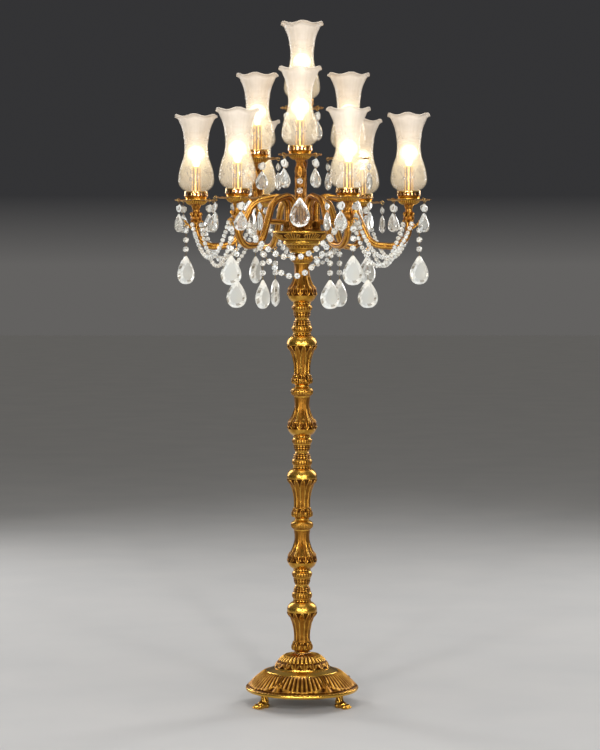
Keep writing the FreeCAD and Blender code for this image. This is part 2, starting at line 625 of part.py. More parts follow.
lights = [(num(angle), num("low_reach"), num("low_seat")) for angle in low_angles]
lights += [(num(angle), num("high_reach"), num("high_seat")) for angle in high_angles]
lights.append((0, 0, num("top_seat")))
light_places = [(angle, "low_reach", "low_seat") for angle in low_angles]
light_places += [(angle, "high_reach", "high_seat") for angle in high_angles]
light_places.append(("0", "0", "top_seat"))
doc.recompute()

pan_hole_reach = num("pan_radius - pan_hole_inset")
pan_holes = [Part.makeCylinder(num("pan_hole_radius"), num("pan_stack"),
                               at(45 + 90 * k, pan_hole_reach, 0)) for k in range(4)]
pan_form = joined("Part::Cut", "drilled_pan_form", pan_profile,
                  [pattern("pan_holes", Part.makeCompound(pan_holes))])
doc.recompute()
fittings = {"drip_pans": (pan_form, "pan_stack"), "fitter_cups": (cup_form, "cup_height"),
            "candle_sleeves": (sleeve_form, "cup_height - cup_floor"),
            "lamp_sockets": (socket_form, "pan_stack"),
            "bulbs": (bulb_form, "bulb_cap_length - sleeve_top")}
for label, (form, drop) in fittings.items():
    keep(group(label, [moved(form.Shape, at(angle, reach, seat - num(drop)), angle)
                       for angle, reach, seat in lights]))
for k, (angle, reach, seat) in enumerate(light_places):
    keep(copy_of(glass_form, f"glass_shade_{k + 1}", angle, reach, f"{seat} - {glass_stand}"))


# Crystals: faceted beads, teardrops and octagons, joined by wire links.
def crystal(label, shares, width, height, thickness):
    """Flat cut crystal: full outline at the girdle, smaller tables in front and behind."""
    body = doc.addObject("PartDesign::Body", label)
    sections = []
    for name, share, lift in (("front", table_share, f"{thickness} / 2"), ("girdle", 1, "0"),
                              ("back", table_share, f"0 - {thickness} / 2")):
        right = []
        left = []
        for x_share, z_share in shares:
            z_place = waist_share + (z_share - waist_share) * share
            right.append((f"{width} / 2 * {x_share * share}", f"{height} * {z_place}"))
            left.append((f"0 - {width} / 2 * {x_share * share}", f"{height} * {z_place}"))
        sections.append(draw(body, f"{label}_{name}", "XZ_Plane", right + left[::-1], lift))
    loft = body.newObject("PartDesign::AdditiveLoft", label + "_cut")
    loft.Profile = sections[0]
    loft.Sections = sections[1:]
    loft.Ruled = True
    body.Tip = loft
    return body


bead_form = turned("bead_form", [("0", "0")] + scaled(bead_shares, "bead_radius", "bead_length")
                   + [("0", "bead_length")])
side_bead_form = turned("side_bead_form", [("0", "0")]
                        + scaled(bead_shares, "side_bead_radius", "side_bead_length")
                        + [("0", "side_bead_length")])
drop_form = crystal("drop_form", drop_shares, "drop_width", "drop_height", "drop_thickness")
trim_form = crystal("trim_form", drop_shares, "trim_width", "trim_height", "trim_thickness")
oct_form = crystal("oct_form", octagon_shares, "oct_width", "oct_width", "oct_thickness")
doc.recompute()

gap = num("fit_gap")
bead_length = num("bead_length")
pitch = num("bead_pitch")
pin = num("pin_radius")


def hung(form, top, height, spin=0):
    """A crystal hanging with its top at a height under the pivot."""
    return moved(form.Shape, Vector(0, 0, top - height), spin)


def pendant(beads, facing):
    """Link ring, beads and one big teardrop, hanging from a pivot at the origin."""
    ring_radius = num("eye_radius")
    centre = num("eye_wire") + pin + gap - ring_radius
    pieces = [Part.makeTorus(ring_radius, pin, Vector(0, 0, centre), Vector(0, 1, 0))]
    top = centre - ring_radius - pin - gap
    for bead in range(beads):
        pieces.append(hung(bead_form, top, bead_length))
        wire_top = top - bead_length - gap
        top -= pitch
        pieces.append(rod(Vector(0, 0, wire_top), Vector(0, 0, top + gap), pin))
    pieces.append(hung(drop_form, top, num("drop_height"), facing))
    return pieces


def hang(label, angle, reach, height, beads, facing):
    """A pendant as one node, placed at its hook."""
    shape = Part.makeCompound(pendant(beads, facing - angle))
    piece = doc.addObject("Part::Feature", label)
    piece.Shape = shape
    piece.Placement = FreeCAD.Placement(at(angle, reach, height), FreeCAD.Rotation(up, angle))
    return keep(piece)


# How far each teardrop has twisted from facing the front, chosen by eye.
outer_facings = [0, 20, 30, 60, 34, 0]
inner_facings = [20, 0, 40, 85, 0, 50]
high_facings = [12, 105, 65]
for k, angle in enumerate(low_angles):
    hang(f"outer_pendant_{k + 1}", num(angle), num("low_reach + hook_reach"),
         num("low_seat - low_hook_drop"), 3, outer_facings[k])
for k, angle in enumerate(low_angles):
    hang(f"inner_pendant_{k + 1}", num(angle), num("inner_hook_reach"),
         num("inner_hook_height"), 3, inner_facings[k])
for k, angle in enumerate(high_angles):
    hang(f"upper_pendant_{k + 1}", num(angle), num("high_reach + hook_reach"),
         num("high_seat - high_hook_drop"), 2, high_facings[k])

# Small crystals at the four holes of every pan.
trim_octagons = []
trim_drops = []
trim_wires = []
trim_ring = num("trim_ring")
wire = num("trim_wire")
for angle, reach, seat in lights:
    for corner in range(4):
        turn = angle + 45 + 90 * corner
        hook = at(angle, reach, seat - num("pan_drop + pan_wall / 2"))
        hook += at(turn, num("pan_radius - pan_hole_inset") + trim_ring, 0)
        radial = at(turn, 1, 0)
        trim_wires.append(Part.makeTorus(trim_ring, wire, hook, radial.cross(up)))
        top = hook - up * (trim_ring + wire + gap)
        below = top - up * num("trim_hang")
        trim_wires.append(rod(top, below, wire))
        octagon_foot = below - up * (gap + num("oct_width"))
        trim_octagons.append(moved(oct_form.Shape, octagon_foot, turn + 90))
        link = octagon_foot - up * gap
        drop_top = link - up * num("trim_pin")
        trim_wires.append(rod(link, drop_top, wire))
        trim_drops.append(moved(trim_form.Shape, drop_top - up * (gap + num("trim_height")),
                                turn + 90))


def strand(start, end, low, pitch):
    """Centres and directions of beads on a hanging curve between two horn tips."""
    start = start - up * (num("horn_ball") + gap)
    end = end - up * (num("horn_ball") + gap)
    sag = start.z - low
    steps = 480
    line = []
    for step in range(steps + 1):
        share = step / steps
        line.append(start + (end - start) * share - up * (4 * sag * share * (1 - share)))
    lengths = [0]
    for before, after in zip(line, line[1:]):
        lengths.append(lengths[-1] + before.distanceToPoint(after))
    count = int(lengths[-1] / pitch)
    spacing = lengths[-1] / count
    beads = []
    for bead in range(count):
        want = (bead + 0.5) * spacing
        index = next(k for k, length in enumerate(lengths) if length >= want)
        beads.append((line[index], (line[index] - line[index - 1]).normalize()))
    return start, end, beads


swag_beads = []
swag_wires = []


def hang_strand(start, end, low, form, length, pitch):
    start, end, beads = strand(start, end, low, pitch)
    half = length / 2 + gap
    centred = form.Shape.translated(up * (-length / 2))
    joints = [start]
    for centre, along in beads:
        swag_beads.append(moved(centred, centre, tilt=along))
        joints += [centre - along * half, centre + along * half]
    joints.append(end)
    for first, second in zip(joints[::2], joints[1::2]):
        swag_wires.append(rod(first, second, pin))


low_reach = num("low_reach")
for k, angle in enumerate(low_angles):
    follow = num(low_angles[(k + 1) % len(low_angles)])
    in_front = k == len(low_angles) - 1
    inner_sag = "swag_front_sag" if in_front else "swag_inner_sag"
    bead = (bead_form, bead_length, num("front_pitch"))
    if not in_front:
        bead = (side_bead_form, num("side_bead_length"), num("side_pitch"))
    for side, sag in (("out", "swag_sag"), ("in", inner_sag)):
        shift = num("horn_out") if side == "out" else -num("horn_in")
        aside = num(f"horn_{side}_side")
        hang_strand(at(num(angle), low_reach + shift, low_horn_height, aside),
                    at(follow, low_reach + shift, low_horn_height, -aside),
                    low_horn_height - num(sag), *bead)
keep(group("swag_beads", swag_beads))
keep(group("pan_octagons", trim_octagons))
keep(group("pan_drops", trim_drops))
keep(group("crystal_wires", swag_wires + trim_wires))

doc.recompute()
faults = []
for piece in doc.Objects:
    if "Invalid" in piece.State or "Error" in piece.State:
        faults.append(f"{piece.Label}: {piece.State}")
for piece in nodes:
    if piece.Shape.isNull() or not piece.Shape.isValid():
        faults.append(f"{piece.Label}: bad shape")
print(len(nodes), "nodes,", sum(len(piece.Shape.Solids) for piece in nodes), "solids")
if faults:
    raise SystemExit("not built: " + "; ".join(faults))
os.makedirs("parts", exist_ok=True)
for piece in nodes:
    piece.Shape.exportStep(f"parts/{piece.Label}.step")
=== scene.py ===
import math
import bpy
import numpy as np
from mathutils import Matrix, Vector


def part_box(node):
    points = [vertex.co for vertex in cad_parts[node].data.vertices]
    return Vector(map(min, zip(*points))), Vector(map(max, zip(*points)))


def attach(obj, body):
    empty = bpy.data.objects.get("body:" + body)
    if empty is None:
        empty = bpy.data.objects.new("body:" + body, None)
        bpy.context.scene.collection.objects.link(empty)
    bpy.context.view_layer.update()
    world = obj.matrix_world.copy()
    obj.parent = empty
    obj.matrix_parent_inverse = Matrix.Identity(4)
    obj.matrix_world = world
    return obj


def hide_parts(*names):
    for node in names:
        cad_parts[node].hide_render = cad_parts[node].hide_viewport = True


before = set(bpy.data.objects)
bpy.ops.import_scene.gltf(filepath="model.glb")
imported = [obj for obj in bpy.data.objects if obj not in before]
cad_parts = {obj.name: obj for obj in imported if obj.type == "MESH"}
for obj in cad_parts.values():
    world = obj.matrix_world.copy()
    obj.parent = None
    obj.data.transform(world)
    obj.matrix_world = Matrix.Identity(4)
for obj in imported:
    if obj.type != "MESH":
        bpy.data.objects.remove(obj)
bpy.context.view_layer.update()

# Ten-light crystal floor lamp. Every measure below is in millimetres, z counts up from the floor,
# angles are degrees about z from +x, and the front looks towards -y. Meshes are made in metres.
mm = 0.001
axisLow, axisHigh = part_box("centre_pipe")
lampAxis = (axisLow + axisHigh) / 2 / mm
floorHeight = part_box("paw_feet")[0].z / mm


# small maths

def easeShare(low, high, value):
    share = np.clip((value - low) / (high - low), 0, 1)
    return share * share * (3 - 2 * share)


# Rises over the first two marks and falls over the last two.
def easeBand(value, low, full, fall, end):
    return easeShare(low, full, value) * (1 - easeShare(fall, end, value))


def ridge(value, width):
    return np.exp(-(value / width) ** 2)


def unit(rows):
    rows = np.asarray(rows, float)
    return rows / np.maximum(np.linalg.norm(rows, axis=-1, keepdims=True), 1e-9)


def lengthAlong(line):
    return np.concatenate([[0], np.cumsum(np.linalg.norm(np.diff(line, axis=0), axis=1))])


# Angles of count even steps round a circle.
def roundSteps(count):
    return np.arange(count) * 2 * math.pi / count


def aroundAxis(angle, reach, height, side=0):
    turn = math.radians(angle)
    return np.array([reach * math.cos(turn) - side * math.sin(turn),
                     reach * math.sin(turn) + side * math.cos(turn), height])


def straightRun(start, end, step):
    count = max(2, int(np.linalg.norm(end - start) / step) + 1)
    return start + (end - start) * np.linspace(0, 1, count)[:, None]


def arcRun(first, middle, last, step):
    ax, ay = middle - first
    bx, by = last - first
    cross = 2 * (ax * by - ay * bx)
    if abs(cross) < 1e-6:
        return straightRun(first, last, step)
    a2, b2 = ax * ax + ay * ay, bx * bx + by * by
    centre = first + np.array([by * a2 - ay * b2, ax * b2 - bx * a2]) / cross
    radius = np.linalg.norm(first - centre)
    start, end = [math.atan2(*(point - centre)[::-1]) for point in (first, last)]
    if cross > 0:
        end = start + (end - start) % (2 * math.pi)
    else:
        end = start - (start - end) % (2 * math.pi)
    turn = np.linspace(start, end, max(4, int(abs(end - start) * radius / step) + 1))
    return centre + radius * np.stack([np.cos(turn), np.sin(turn)], 1)


# Dense line through (radius, height) points; a third word marks a point inside an arc.
def traceOutline(points, step=1.2):
    line = []
    index = 0
    while index < len(points) - 1:
        curved = len(points[index + 1]) == 3
        run = [np.array(point[:2], float) for point in points[index:index + 2 + curved]]
        line.extend((arcRun if curved else straightRun)(*run, step)[:-1])
        index += 1 + curved
    return np.array(line + [run[-1]])


def scaleShares(shares, radius, height, foot=0):
    return [(radius * s[0], foot + height * s[1]) + tuple(s[2:]) for s in shares]


# Straight runs joined by tangent arcs, as points about `step` apart.
def bentPath(points, bends, step=2.6):
    points = [np.array(point, float) for point in points]
    line = [points[0]]
    for before, corner, after, bend in zip(points, points[1:], points[2:], bends):
        back, ahead = unit(before - corner), unit(after - corner)
        half = math.acos(np.clip(back @ ahead, -1, 1)) / 2
        centre = corner + unit(back + ahead) * bend / math.sin(half)
        entry = corner + back * bend / math.tan(half)
        leave = corner + ahead * bend / math.tan(half)
        line.extend(straightRun(line[-1], entry, step)[1:])
        u, v = (entry - centre) / bend, (leave - centre) / bend
        sweep = math.acos(np.clip(u @ v, -1, 1))
        for share in np.linspace(0, 1, max(3, int(sweep * bend / step) + 1))[1:]:
            w = (math.sin((1 - share) * sweep) * u + math.sin(share * sweep) * v) / math.sin(sweep)
            line.append(centre + w * bend)
    line.extend(straightRun(line[-1], points[-1], step)[1:])
    return np.array(line)


# Smooth line through a few points.
def softPath(points, count):
    points = np.asarray(points, float)
    padded = np.concatenate([[2 * points[0] - points[1]], points, [2 * points[-1] - points[-2]]])
    place = np.linspace(0, 1, count) * (len(points) - 1)
    index = np.minimum(place.astype(int), len(points) - 2)
    t = (place - index)[:, None]
    p0, p1, p2, p3 = [padded[index + k] for k in range(4)]
    return 0.5 * (2 * p1 + (p2 - p0) * t + (2 * p0 - 5 * p1 + 4 * p2 - p3) * t ** 2
                  + (3 * p1 - p0 - 3 * p2 + p3) * t ** 3)


# forms: points in mm, quads, tris and how deep each point lies in the relief

def form(points, quads=(), tris=(), recess=None):
    points = np.asarray(points, float).reshape(-1, 3)
    if recess is None:
        recess = np.zeros(len(points))
    return {"points": points, "quads": np.asarray(quads, int).reshape(-1, 4),
            "tris": np.asarray(tris, int).reshape(-1, 3), "recess": np.asarray(recess, float)}


def joinForms(forms):
    starts = np.cumsum([0] + [len(item["points"]) for item in forms])
    joined = form(np.concatenate([item["points"] for item in forms]),
                  np.concatenate([item["quads"] + start for item, start in zip(forms, starts)]),
                  np.concatenate([item["tris"] + start for item, start in zip(forms, starts)]),
                  np.concatenate([item["recess"] for item in forms]))
    if all("spark" in item for item in forms):
        joined["spark"] = np.concatenate([item["spark"] for item in forms])
    return joined


def turnForm(item, angle=0, move=(0, 0, 0), matrix=None):
    if matrix is None:
        turn = math.radians(angle)
        matrix = np.array([[math.cos(turn), -math.sin(turn), 0],
                           [math.sin(turn), math.cos(turn), 0], [0, 0, 1]])
    return dict(item, points=item["points"] @ matrix.T + np.asarray(move, float))


def gridQuads(rows, columns):
    row, column = np.meshgrid(np.arange(rows - 1), np.arange(columns), indexing="ij")
    after = (column + 1) % columns
    return np.stack([row * columns + column, row * columns + after,
                     (row + 1) * columns + after, (row + 1) * columns + column], -1).reshape(-1, 4)


# A turned casting. relief(theta, share) gives mm outwards, share runs along the outline.
def turnedForm(outline, segments=96, relief=None, shares=None, tone=1.0):
    outline = np.asarray(outline, float)
    if shares is None:
        shares = lengthAlong(outline) / lengthAlong(outline)[-1]
    tangent = unit(np.gradient(outline, axis=0))
    theta = roundSteps(segments)
    depth = recess = np.zeros((len(outline), segments))
    if relief is not None:
        depth = depth + relief(theta[None, :], np.asarray(shares)[:, None])
        low, high = np.percentile(depth, [2, 98])
        # the hollows of the relief are coloured darker: partly patina, partly painted shade
        recess = tone * np.clip((high - depth) / max(high - low, 1e-9), 0, 1) ** 0.8
        # rows without relief are wiped bright
        recess[np.ptp(depth, axis=1) < 0.02 * (high - low)] = -0.25
    radius = outline[:, :1] + tangent[:, 1:] * depth
    height = outline[:, 1:] - tangent[:, :1] * depth
    points = np.stack([radius * np.cos(theta), radius * np.sin(theta), height + 0 * theta], -1)
    return form(points, gridQuads(len(outline), segments), recess=recess.ravel())


# A tube along a flat path; side is the direction square to the path's plane.
def sweptForm(path, side, radius, sides=24, relief=None, tone=0.85):
    path, side = np.asarray(path, float), unit(side)
    normal = unit(np.cross(unit(np.gradient(path, axis=0)), side))
    theta = roundSteps(sides)
    radius = np.broadcast_to(np.asarray(radius, float).reshape(-1, 1), (len(path), sides))
    recess = np.zeros((len(path), sides))
    if relief is not None:
        share = lengthAlong(path)
        depth = relief(theta[None, :], (share / share[-1])[:, None]) + 0 * recess
        radius = radius + depth
        # the hollows of the flutes are coloured darker: partly patina, partly painted shade
        recess = tone * (depth.max() - depth) / max(np.ptp(depth), 1e-9)
    ring = (normal[:, None, :] * np.cos(theta)[None, :, None]
            + side[None, None, :] * np.sin(theta)[None, :, None])
    points = (path[:, None, :] + ring * radius[:, :, None]).reshape(-1, 3)
    count, last = len(points), (len(path) - 1) * sides
    first = np.arange(sides)
    after = (first + 1) % sides
    tris = np.concatenate([np.stack([np.full(sides, count), after, first], 1),
                           np.stack([np.full(sides, count + 1), last + first, last + after], 1)])
    return form(np.concatenate([points, path[:1], path[-1:]]), gridQuads(len(path), sides), tris,
                np.concatenate([recess.ravel(), [0, 0]]))


def ballForm(centre, radius, rows=10, columns=16):
    turn = np.linspace(-math.pi / 2, math.pi / 2, rows)
    outline = np.stack([np.maximum(radius * np.cos(turn), 0.01), radius * np.sin(turn)], 1)
    return turnForm(turnedForm(outline, columns), move=centre)


def ringForm(centre, radius, wire, normal, sides=8, count=24):
    normal = unit(normal)
    first = unit(np.cross(normal, (0, 0, 1) if abs(normal[2]) < 0.9 else (1, 0, 0)))
    second = np.cross(normal, first)
    turn, theta = roundSteps(count), roundSteps(sides)
    spoke = np.cos(turn)[:, None] * first + np.sin(turn)[:, None] * second
    points = (np.asarray(centre, float) + normal * (wire * np.sin(theta))[None, :, None]
              + spoke[:, None, :] * (radius + wire * np.cos(theta))[None, :, None])
    return form(points, gridQuads(count + 1, sides) % (count * sides))


def rodForm(start, end, radius, sides=8):
    start, end = np.asarray(start, float), np.asarray(end, float)
    along = unit(end - start)
    helper = (0, 1, 0) if abs(along[1]) < 0.9 else (1, 0, 0)
    return sweptForm([start, (start + end) / 2, end], np.cross(along, helper), radius, sides)


# relief patterns, about 1 on a crest and -1 in a hollow

# Leaves side by side round the piece, from a root share to a rounded tip share.
def leafPlaces(theta, share, count, root, tip, turn=0.0, border=0.16, rib=0.45, shoulder=0.62):
    across = np.abs(2 * ((theta * count / (2 * math.pi) + turn) % 1) - 1)
    along = (share - root) / (tip - root)
    width = np.sqrt(np.clip(1 - (np.clip(along - shoulder, 0, None) / (1 - shoulder)) ** 2, 0, 1))
    inside = (along >= 0) & (along <= 1)
    body = ridge(across - 0.8 * width, border) + rib * ridge(across, 0.13)
    field = np.where(across < width * 0.98, body - 0.35 * (1 - across ** 2), -0.9)
    return np.where(inside, field * easeShare(0, 0.06, along), 0), inside


def leafRow(theta, share, count, root, tip, **shape):
    return leafPlaces(theta, share, count, root, tip, **shape)[0]


# Plain rounded ribs.
def ribRow(theta, count, power=0.6):
    return 2 * np.abs(np.sin(theta * count / 2)) ** power - 1


# Fans of thin petals, each fan opening from its root share to its tip share.
def fanRow(theta, share, fans, petals, root, tip, turn=0.0, closed=0.45, crisp=1.6):
    sector = (theta * fans / (2 * math.pi) + turn) % 1
    along = np.clip((share - root) / (tip - root), 0, 1)
    place = (2 * sector - 1) / (closed + (1 - closed) * along ** 0.8)
    tipLine = 1 - 0.30 * place ** 2 - 0.07 * np.abs(np.sin(place * petals * math.pi / 2))
    inside = (np.abs(place) < 1) & (along < tipLine)
    lines = np.abs(np.cos(place * petals * math.pi / 2)) ** crisp
    rim = ridge(along - tipLine + 0.03, 0.04)
    return np.where(inside, 2.0 * np.maximum(lines, rim) - 1.0, -1.0), inside


def beadRow(theta, share, count, middle, half):
    across = ((theta * count / (2 * math.pi)) % 1) * 2 - 1
    up = (share - middle) / half
    ball = np.sqrt(np.clip(1 - across ** 2 - up ** 2, 0, 1))
    return np.where(np.abs(up) < 1, 2 * ball - 0.9, 0)


# finishes

def newFinish(name):
    material = bpy.data.materials.new(name)
    material.use_nodes = True
    return material, material.node_tree, material.node_tree.nodes["Principled BSDF"]


# Sets or links a node's inputs, by name or number.
def feed(tree, node, values):
    for key, value in values.items():
        if isinstance(value, bpy.types.NodeSocket):
            tree.links.new(value, node.inputs[key])
        else:
            node.inputs[key].default_value = value


def addNode(tree, kind, values=(), **settings):
    node = tree.nodes.new(kind)
    for key, value in settings.items():
        setattr(node, key, value)
    feed(tree, node, dict(values))
    return node


def objectNoise(tree, scale, detail=3.0):
    place = addNode(tree, "ShaderNodeTexCoord").outputs["Object"]
    noise = addNode(tree, "ShaderNodeTexNoise", {"Vector": place, "Scale": scale, "Detail": detail})
    return noise.outputs["Fac"]


def sumOf(tree, first, second, operation="ADD"):
    return addNode(tree, "ShaderNodeMath", {0: first, 1: second}, operation=operation).outputs[0]


def product(tree, first, second):
    return sumOf(tree, first, second, "MULTIPLY")


def spread(tree, value, low, high, toLow=0.0, toHigh=1.0):
    return addNode(tree, "ShaderNodeMapRange", {
        "Value": value, "From Min": low, "From Max": high, "To Min": toLow,
        "To Max": toHigh}).outputs["Result"]


# Noise drawn out between two values.
def speckle(tree, scale, detail, low, high, toLow=0.0, toHigh=1.0):
    return spread(tree, objectNoise(tree, scale, detail), low, high, toLow, toHigh)


def mixColour(tree, share, first, second, blend="MIX"):
    first, second = [(*tone, 1) if isinstance(tone, tuple) else tone for tone in (first, second)]
    return addNode(tree, "ShaderNodeMix", {"Factor": share, 6: first, 7: second},
                   data_type="RGBA", blend_type=blend).outputs[2]


def rampOf(tree, share, stops):
    ramp = addNode(tree, "ShaderNodeValToRGB", {"Fac": share})
    elements = ramp.color_ramp.elements
    for index, (place, tone) in enumerate(stops):
        element = elements[index] if index < 2 else elements.new(place)
        element.position = place
        element.color = (*tone, 1)
    return ramp.outputs["Color"]


def addBump(tree, shader, height, distance):
    bump = addNode(tree, "ShaderNodeBump", {"Strength": 1.0, "Distance": distance, "Height": height})
    feed(tree, shader, {"Normal": bump.outputs["Normal"]})


def pointValue(tree, name):
    return addNode(tree, "ShaderNodeAttribute", attribute_name=name).outputs["Fac"]


def facingShare(tree):
    return addNode(tree, "ShaderNodeLayerWeight", {"Blend": 0.5}).outputs["Facing"]


giltLooks = {
    "castGilt": {"bright": (0.82, 0.485, 0.085), "worn": (0.41, 0.180, 0.025), "deep": (0.078, 0.023, 0.004),
                 "marks": (0.12, 0.42, 0.80), "smooth": 0.19, "rough": 0.58, "grain": 0.00014},
    "armGilt": {"bright": (0.78, 0.42, 0.082), "worn": (0.38, 0.15, 0.024),
                "deep": (0.055, 0.014, 0.005),
                "marks": (0.10, 0.40, 0.80), "smooth": 0.24, "rough": 0.55, "grain": 0.00012},
    "polishedGilt": {"bright": (1.0, 0.67, 0.25), "worn": (0.42, 0.15, 0.025), "deep": (0.08, 0.014, 0.004),
                     "marks": (0.15, 0.45, 0.85), "smooth": 0.12, "rough": 0.36, "grain": 0.00003,
                     "lacquer": 0.6},
    "sleeveGilt": {"bright": (0.95, 0.58, 0.11), "worn": (0.45, 0.19, 0.022), "deep": (0.07, 0.016, 0.003),
                   "marks": (0.10, 0.38, 0.75), "smooth": 0.22, "rough": 0.5, "grain": 0.00004, "lit": 0.42},
    "giltWire": {"bright": (0.90, 0.64, 0.24), "worn": (0.60, 0.36, 0.10), "deep": (0.3, 0.14, 0.04),
                 "marks": (0.3, 0.65, 1.0), "smooth": 0.16, "rough": 0.3, "grain": 0.00003},
}


def giltFinish(name):
    # bright on the crests, brown in the hollows, partly the casting's patina and partly painted shade, with
    # cloudy tarnish and fine scuffs over both
    look = giltLooks[name]
    marks = look["marks"]
    material, tree, shader = newFinish(name)
    tarnish = product(tree, speckle(tree, 60, 5, 0.38, 0.72), 0.20)
    share = sumOf(tree, pointValue(tree, "recess"), tarnish)
    tone = rampOf(tree, share, zip(marks, (look["bright"], look["worn"], look["deep"])))
    cloudy = mixColour(tree, speckle(tree, 14, 2, 0.3, 0.7), (1, 1, 1), (0.80, 0.74, 0.62))
    scuffs = product(tree, speckle(tree, 420, 3, 0.4, 0.8), 0.10)
    rough = spread(tree, share, marks[0], marks[2], look["smooth"], look["rough"])
    feed(tree, shader, {"Base Color": mixColour(tree, 1.0, tone, cloudy, "MULTIPLY"),
                        "Roughness": sumOf(tree, rough, scuffs), "Metallic": 1})
    # a thin clear lacquer on the bright fittings, for their white glints
    feed(tree, shader, {"Coat Weight": look.get("lacquer", 0), "Coat Roughness": 0.10})
    if "lit" in look:
        # painted light: the sleeves glow as if lit by the bulbs right above them
        feed(tree, shader, {"Emission Color": tone, "Emission Strength": look["lit"]})
    addBump(tree, shader, objectNoise(tree, 950, 2), look["grain"])
    return material


# the core and haze strengths and the low and high colours are for the bulb light painted into the glass
glassLook = {"tint": (0.80, 0.72, 0.62), "line": (0.10, 0.07, 0.035), "clear": 0.11, "milky": 0.58,
             "core": 1.1, "haze": 1.25, "low": (1.0, 0.80, 0.44), "high": (1.0, 0.80, 0.61)}


def glassFinish(name):
    # frosted towards the rim; the bulb's light spreading in the milky layer is painted on as emission,
    # strongest where the glass faces the view
    material, tree, shader = newFinish(name)
    frost = pointValue(tree, "frost")
    cloud = product(tree, speckle(tree, 70, 3, 0.3, 0.7), 0.08)
    feed(tree, shader, {
        "Alpha": spread(tree, sumOf(tree, frost, cloud, "SUBTRACT"), 0.0, 0.95, glassLook["clear"],
                        glassLook["milky"]),
        "Roughness": spread(tree, frost, 0.0, 1.0, 0.05, 0.40), "IOR": 1.5, "Specular IOR Level": 0.6,
        "Base Color": mixColour(tree, pointValue(tree, "etch"), glassLook["tint"], glassLook["line"]),
        "Emission Color": mixColour(tree, spread(tree, frost, 0.2, 0.8), glassLook["low"],
                                    glassLook["high"])})
    facing = facingShare(tree)
    core = product(tree, product(tree, pointValue(tree, "glow"), glassLook["core"]),
                   spread(tree, facing, 0.0, 0.6, 1.0, 0.25))
    haze = product(tree, product(tree, pointValue(tree, "haze"), glassLook["haze"]),
                   spread(tree, facing, 0.2, 0.95, 1.0, 0.55))
    feed(tree, shader, {"Emission Strength": sumOf(tree, core, haze)})
    addBump(tree, shader, objectNoise(tree, 500, 2), 0.00008)
    return material


# the dark facet colour and the glow of the bright facets are painted reflections
crystalLooks = {
    "cutCrystal": {"clear": 0.50, "light": 0.155, "from": 0.3, "dark": (0.20, 0.17, 0.14)},
    "trimCrystal": {"clear": 0.72, "light": 0.13, "from": 0.3, "dark": (0.16, 0.13, 0.10)},
    "clearCrystal": {"clear": 0.93, "light": 0.45, "from": 0.62, "dark": (0.34, 0.28, 0.22)},
}


def crystalFinish(name):
    # painted reflections: each facet has its own painted sparkle, how much light it seems to throw back, and
    # the brighter facets are painted to glow a little
    look = crystalLooks[name]
    material, tree, shader = newFinish(name)
    spark = pointValue(tree, "spark")
    tone = rampOf(tree, spark, [(0.0, look["dark"]), (0.22, (0.50, 0.45, 0.38)),
                                (0.5, (0.86, 0.87, 0.85)), (1.0, (1.0, 1.0, 0.98))])
    cloud = mixColour(tree, speckle(tree, 30, 2, 0.3, 0.7), (1.0, 0.955, 0.87), (0.94, 0.975, 1.0))
    tinted = mixColour(tree, 1.0, tone, cloud, "MULTIPLY")
    feed(tree, shader, {
        "Base Color": tinted, "Emission Color": tinted,
        "Emission Strength": spread(tree, spark, look["from"], 1.0, 0.0, look["light"]),
        "Transmission Weight": look["clear"], "IOR": 1.56, "Specular IOR Level": 0.75,
        "Roughness": speckle(tree, 260, 3, 0.35, 0.8, 0.0, 0.06)})
    return material


def bulbFinish(name):
    material, tree, shader = newFinish(name)
    glow = product(tree, speckle(tree, 45, 2, 0.3, 0.7, 3.4, 4.2),
                   spread(tree, facingShare(tree), 0.0, 0.40, 1.0, 0.085))
    feed(tree, shader, {"Emission Strength": glow, "Emission Color": (1.0, 0.84, 0.58, 1),
                        "Base Color": (1.0, 0.95, 0.85, 1),
                        "Roughness": speckle(tree, 300, 2, 0.3, 0.7, 0.2, 0.35)})
    return material


plainLooks = {
    "castIron": {"first": (0.035, 0.034, 0.033), "second": (0.075, 0.068, 0.06), "scale": 220,
                 "metal": 0.4, "smooth": 0.55, "rough": 0.85, "grain": 0.0006, "fine": 700},
    "zincPlate": {"first": (0.62, 0.62, 0.60), "second": (0.46, 0.46, 0.43), "scale": 60,
                  "metal": 1.0, "smooth": 0.25, "rough": 0.5, "grain": 0.0001, "fine": 900},
    "bushPlastic": {"first": (0.045, 0.035, 0.028), "second": (0.06, 0.05, 0.04), "scale": 120,
                    "metal": 0.0, "smooth": 0.38, "rough": 0.5, "grain": 0.0001, "fine": 900},
    "socketBody": {"first": (0.86, 0.80, 0.66), "second": (0.78, 0.70, 0.55), "scale": 90,
                   "metal": 0.0, "smooth": 0.4, "rough": 0.6, "grain": 0.0001, "fine": 600},
}


def plainFinish(name):
    look = plainLooks[name]
    material, tree, shader = newFinish(name)
    tone = mixColour(tree, speckle(tree, look["scale"], 4, 0.3, 0.7), look["first"], look["second"])
    feed(tree, shader, {
        "Base Color": tone, "Metallic": look["metal"],
        "Roughness": speckle(tree, look["fine"], 3, 0.3, 0.75, look["smooth"], look["rough"])})
    addBump(tree, shader, objectNoise(tree, look["fine"], 3), look["grain"])
    return material


finishes = {}
for makeFinish, names in ((giltFinish, giltLooks), (plainFinish, plainLooks), (crystalFinish, crystalLooks),
                          (glassFinish, ["shadeGlass"]), (bulbFinish, ["bulbGlow"])):
    for name in names:
        finishes[name] = makeFinish(name)
giltSlot, polishSlot, wireSlot, crystalSlot = "gilt_brass", "polished_gilt", "gilt_wire", "crystal"
print("finishes ready")


# from forms to pieces

def addObject(name, data):
    item = bpy.data.objects.new(name, data)
    bpy.context.scene.collection.objects.link(item)
    return item


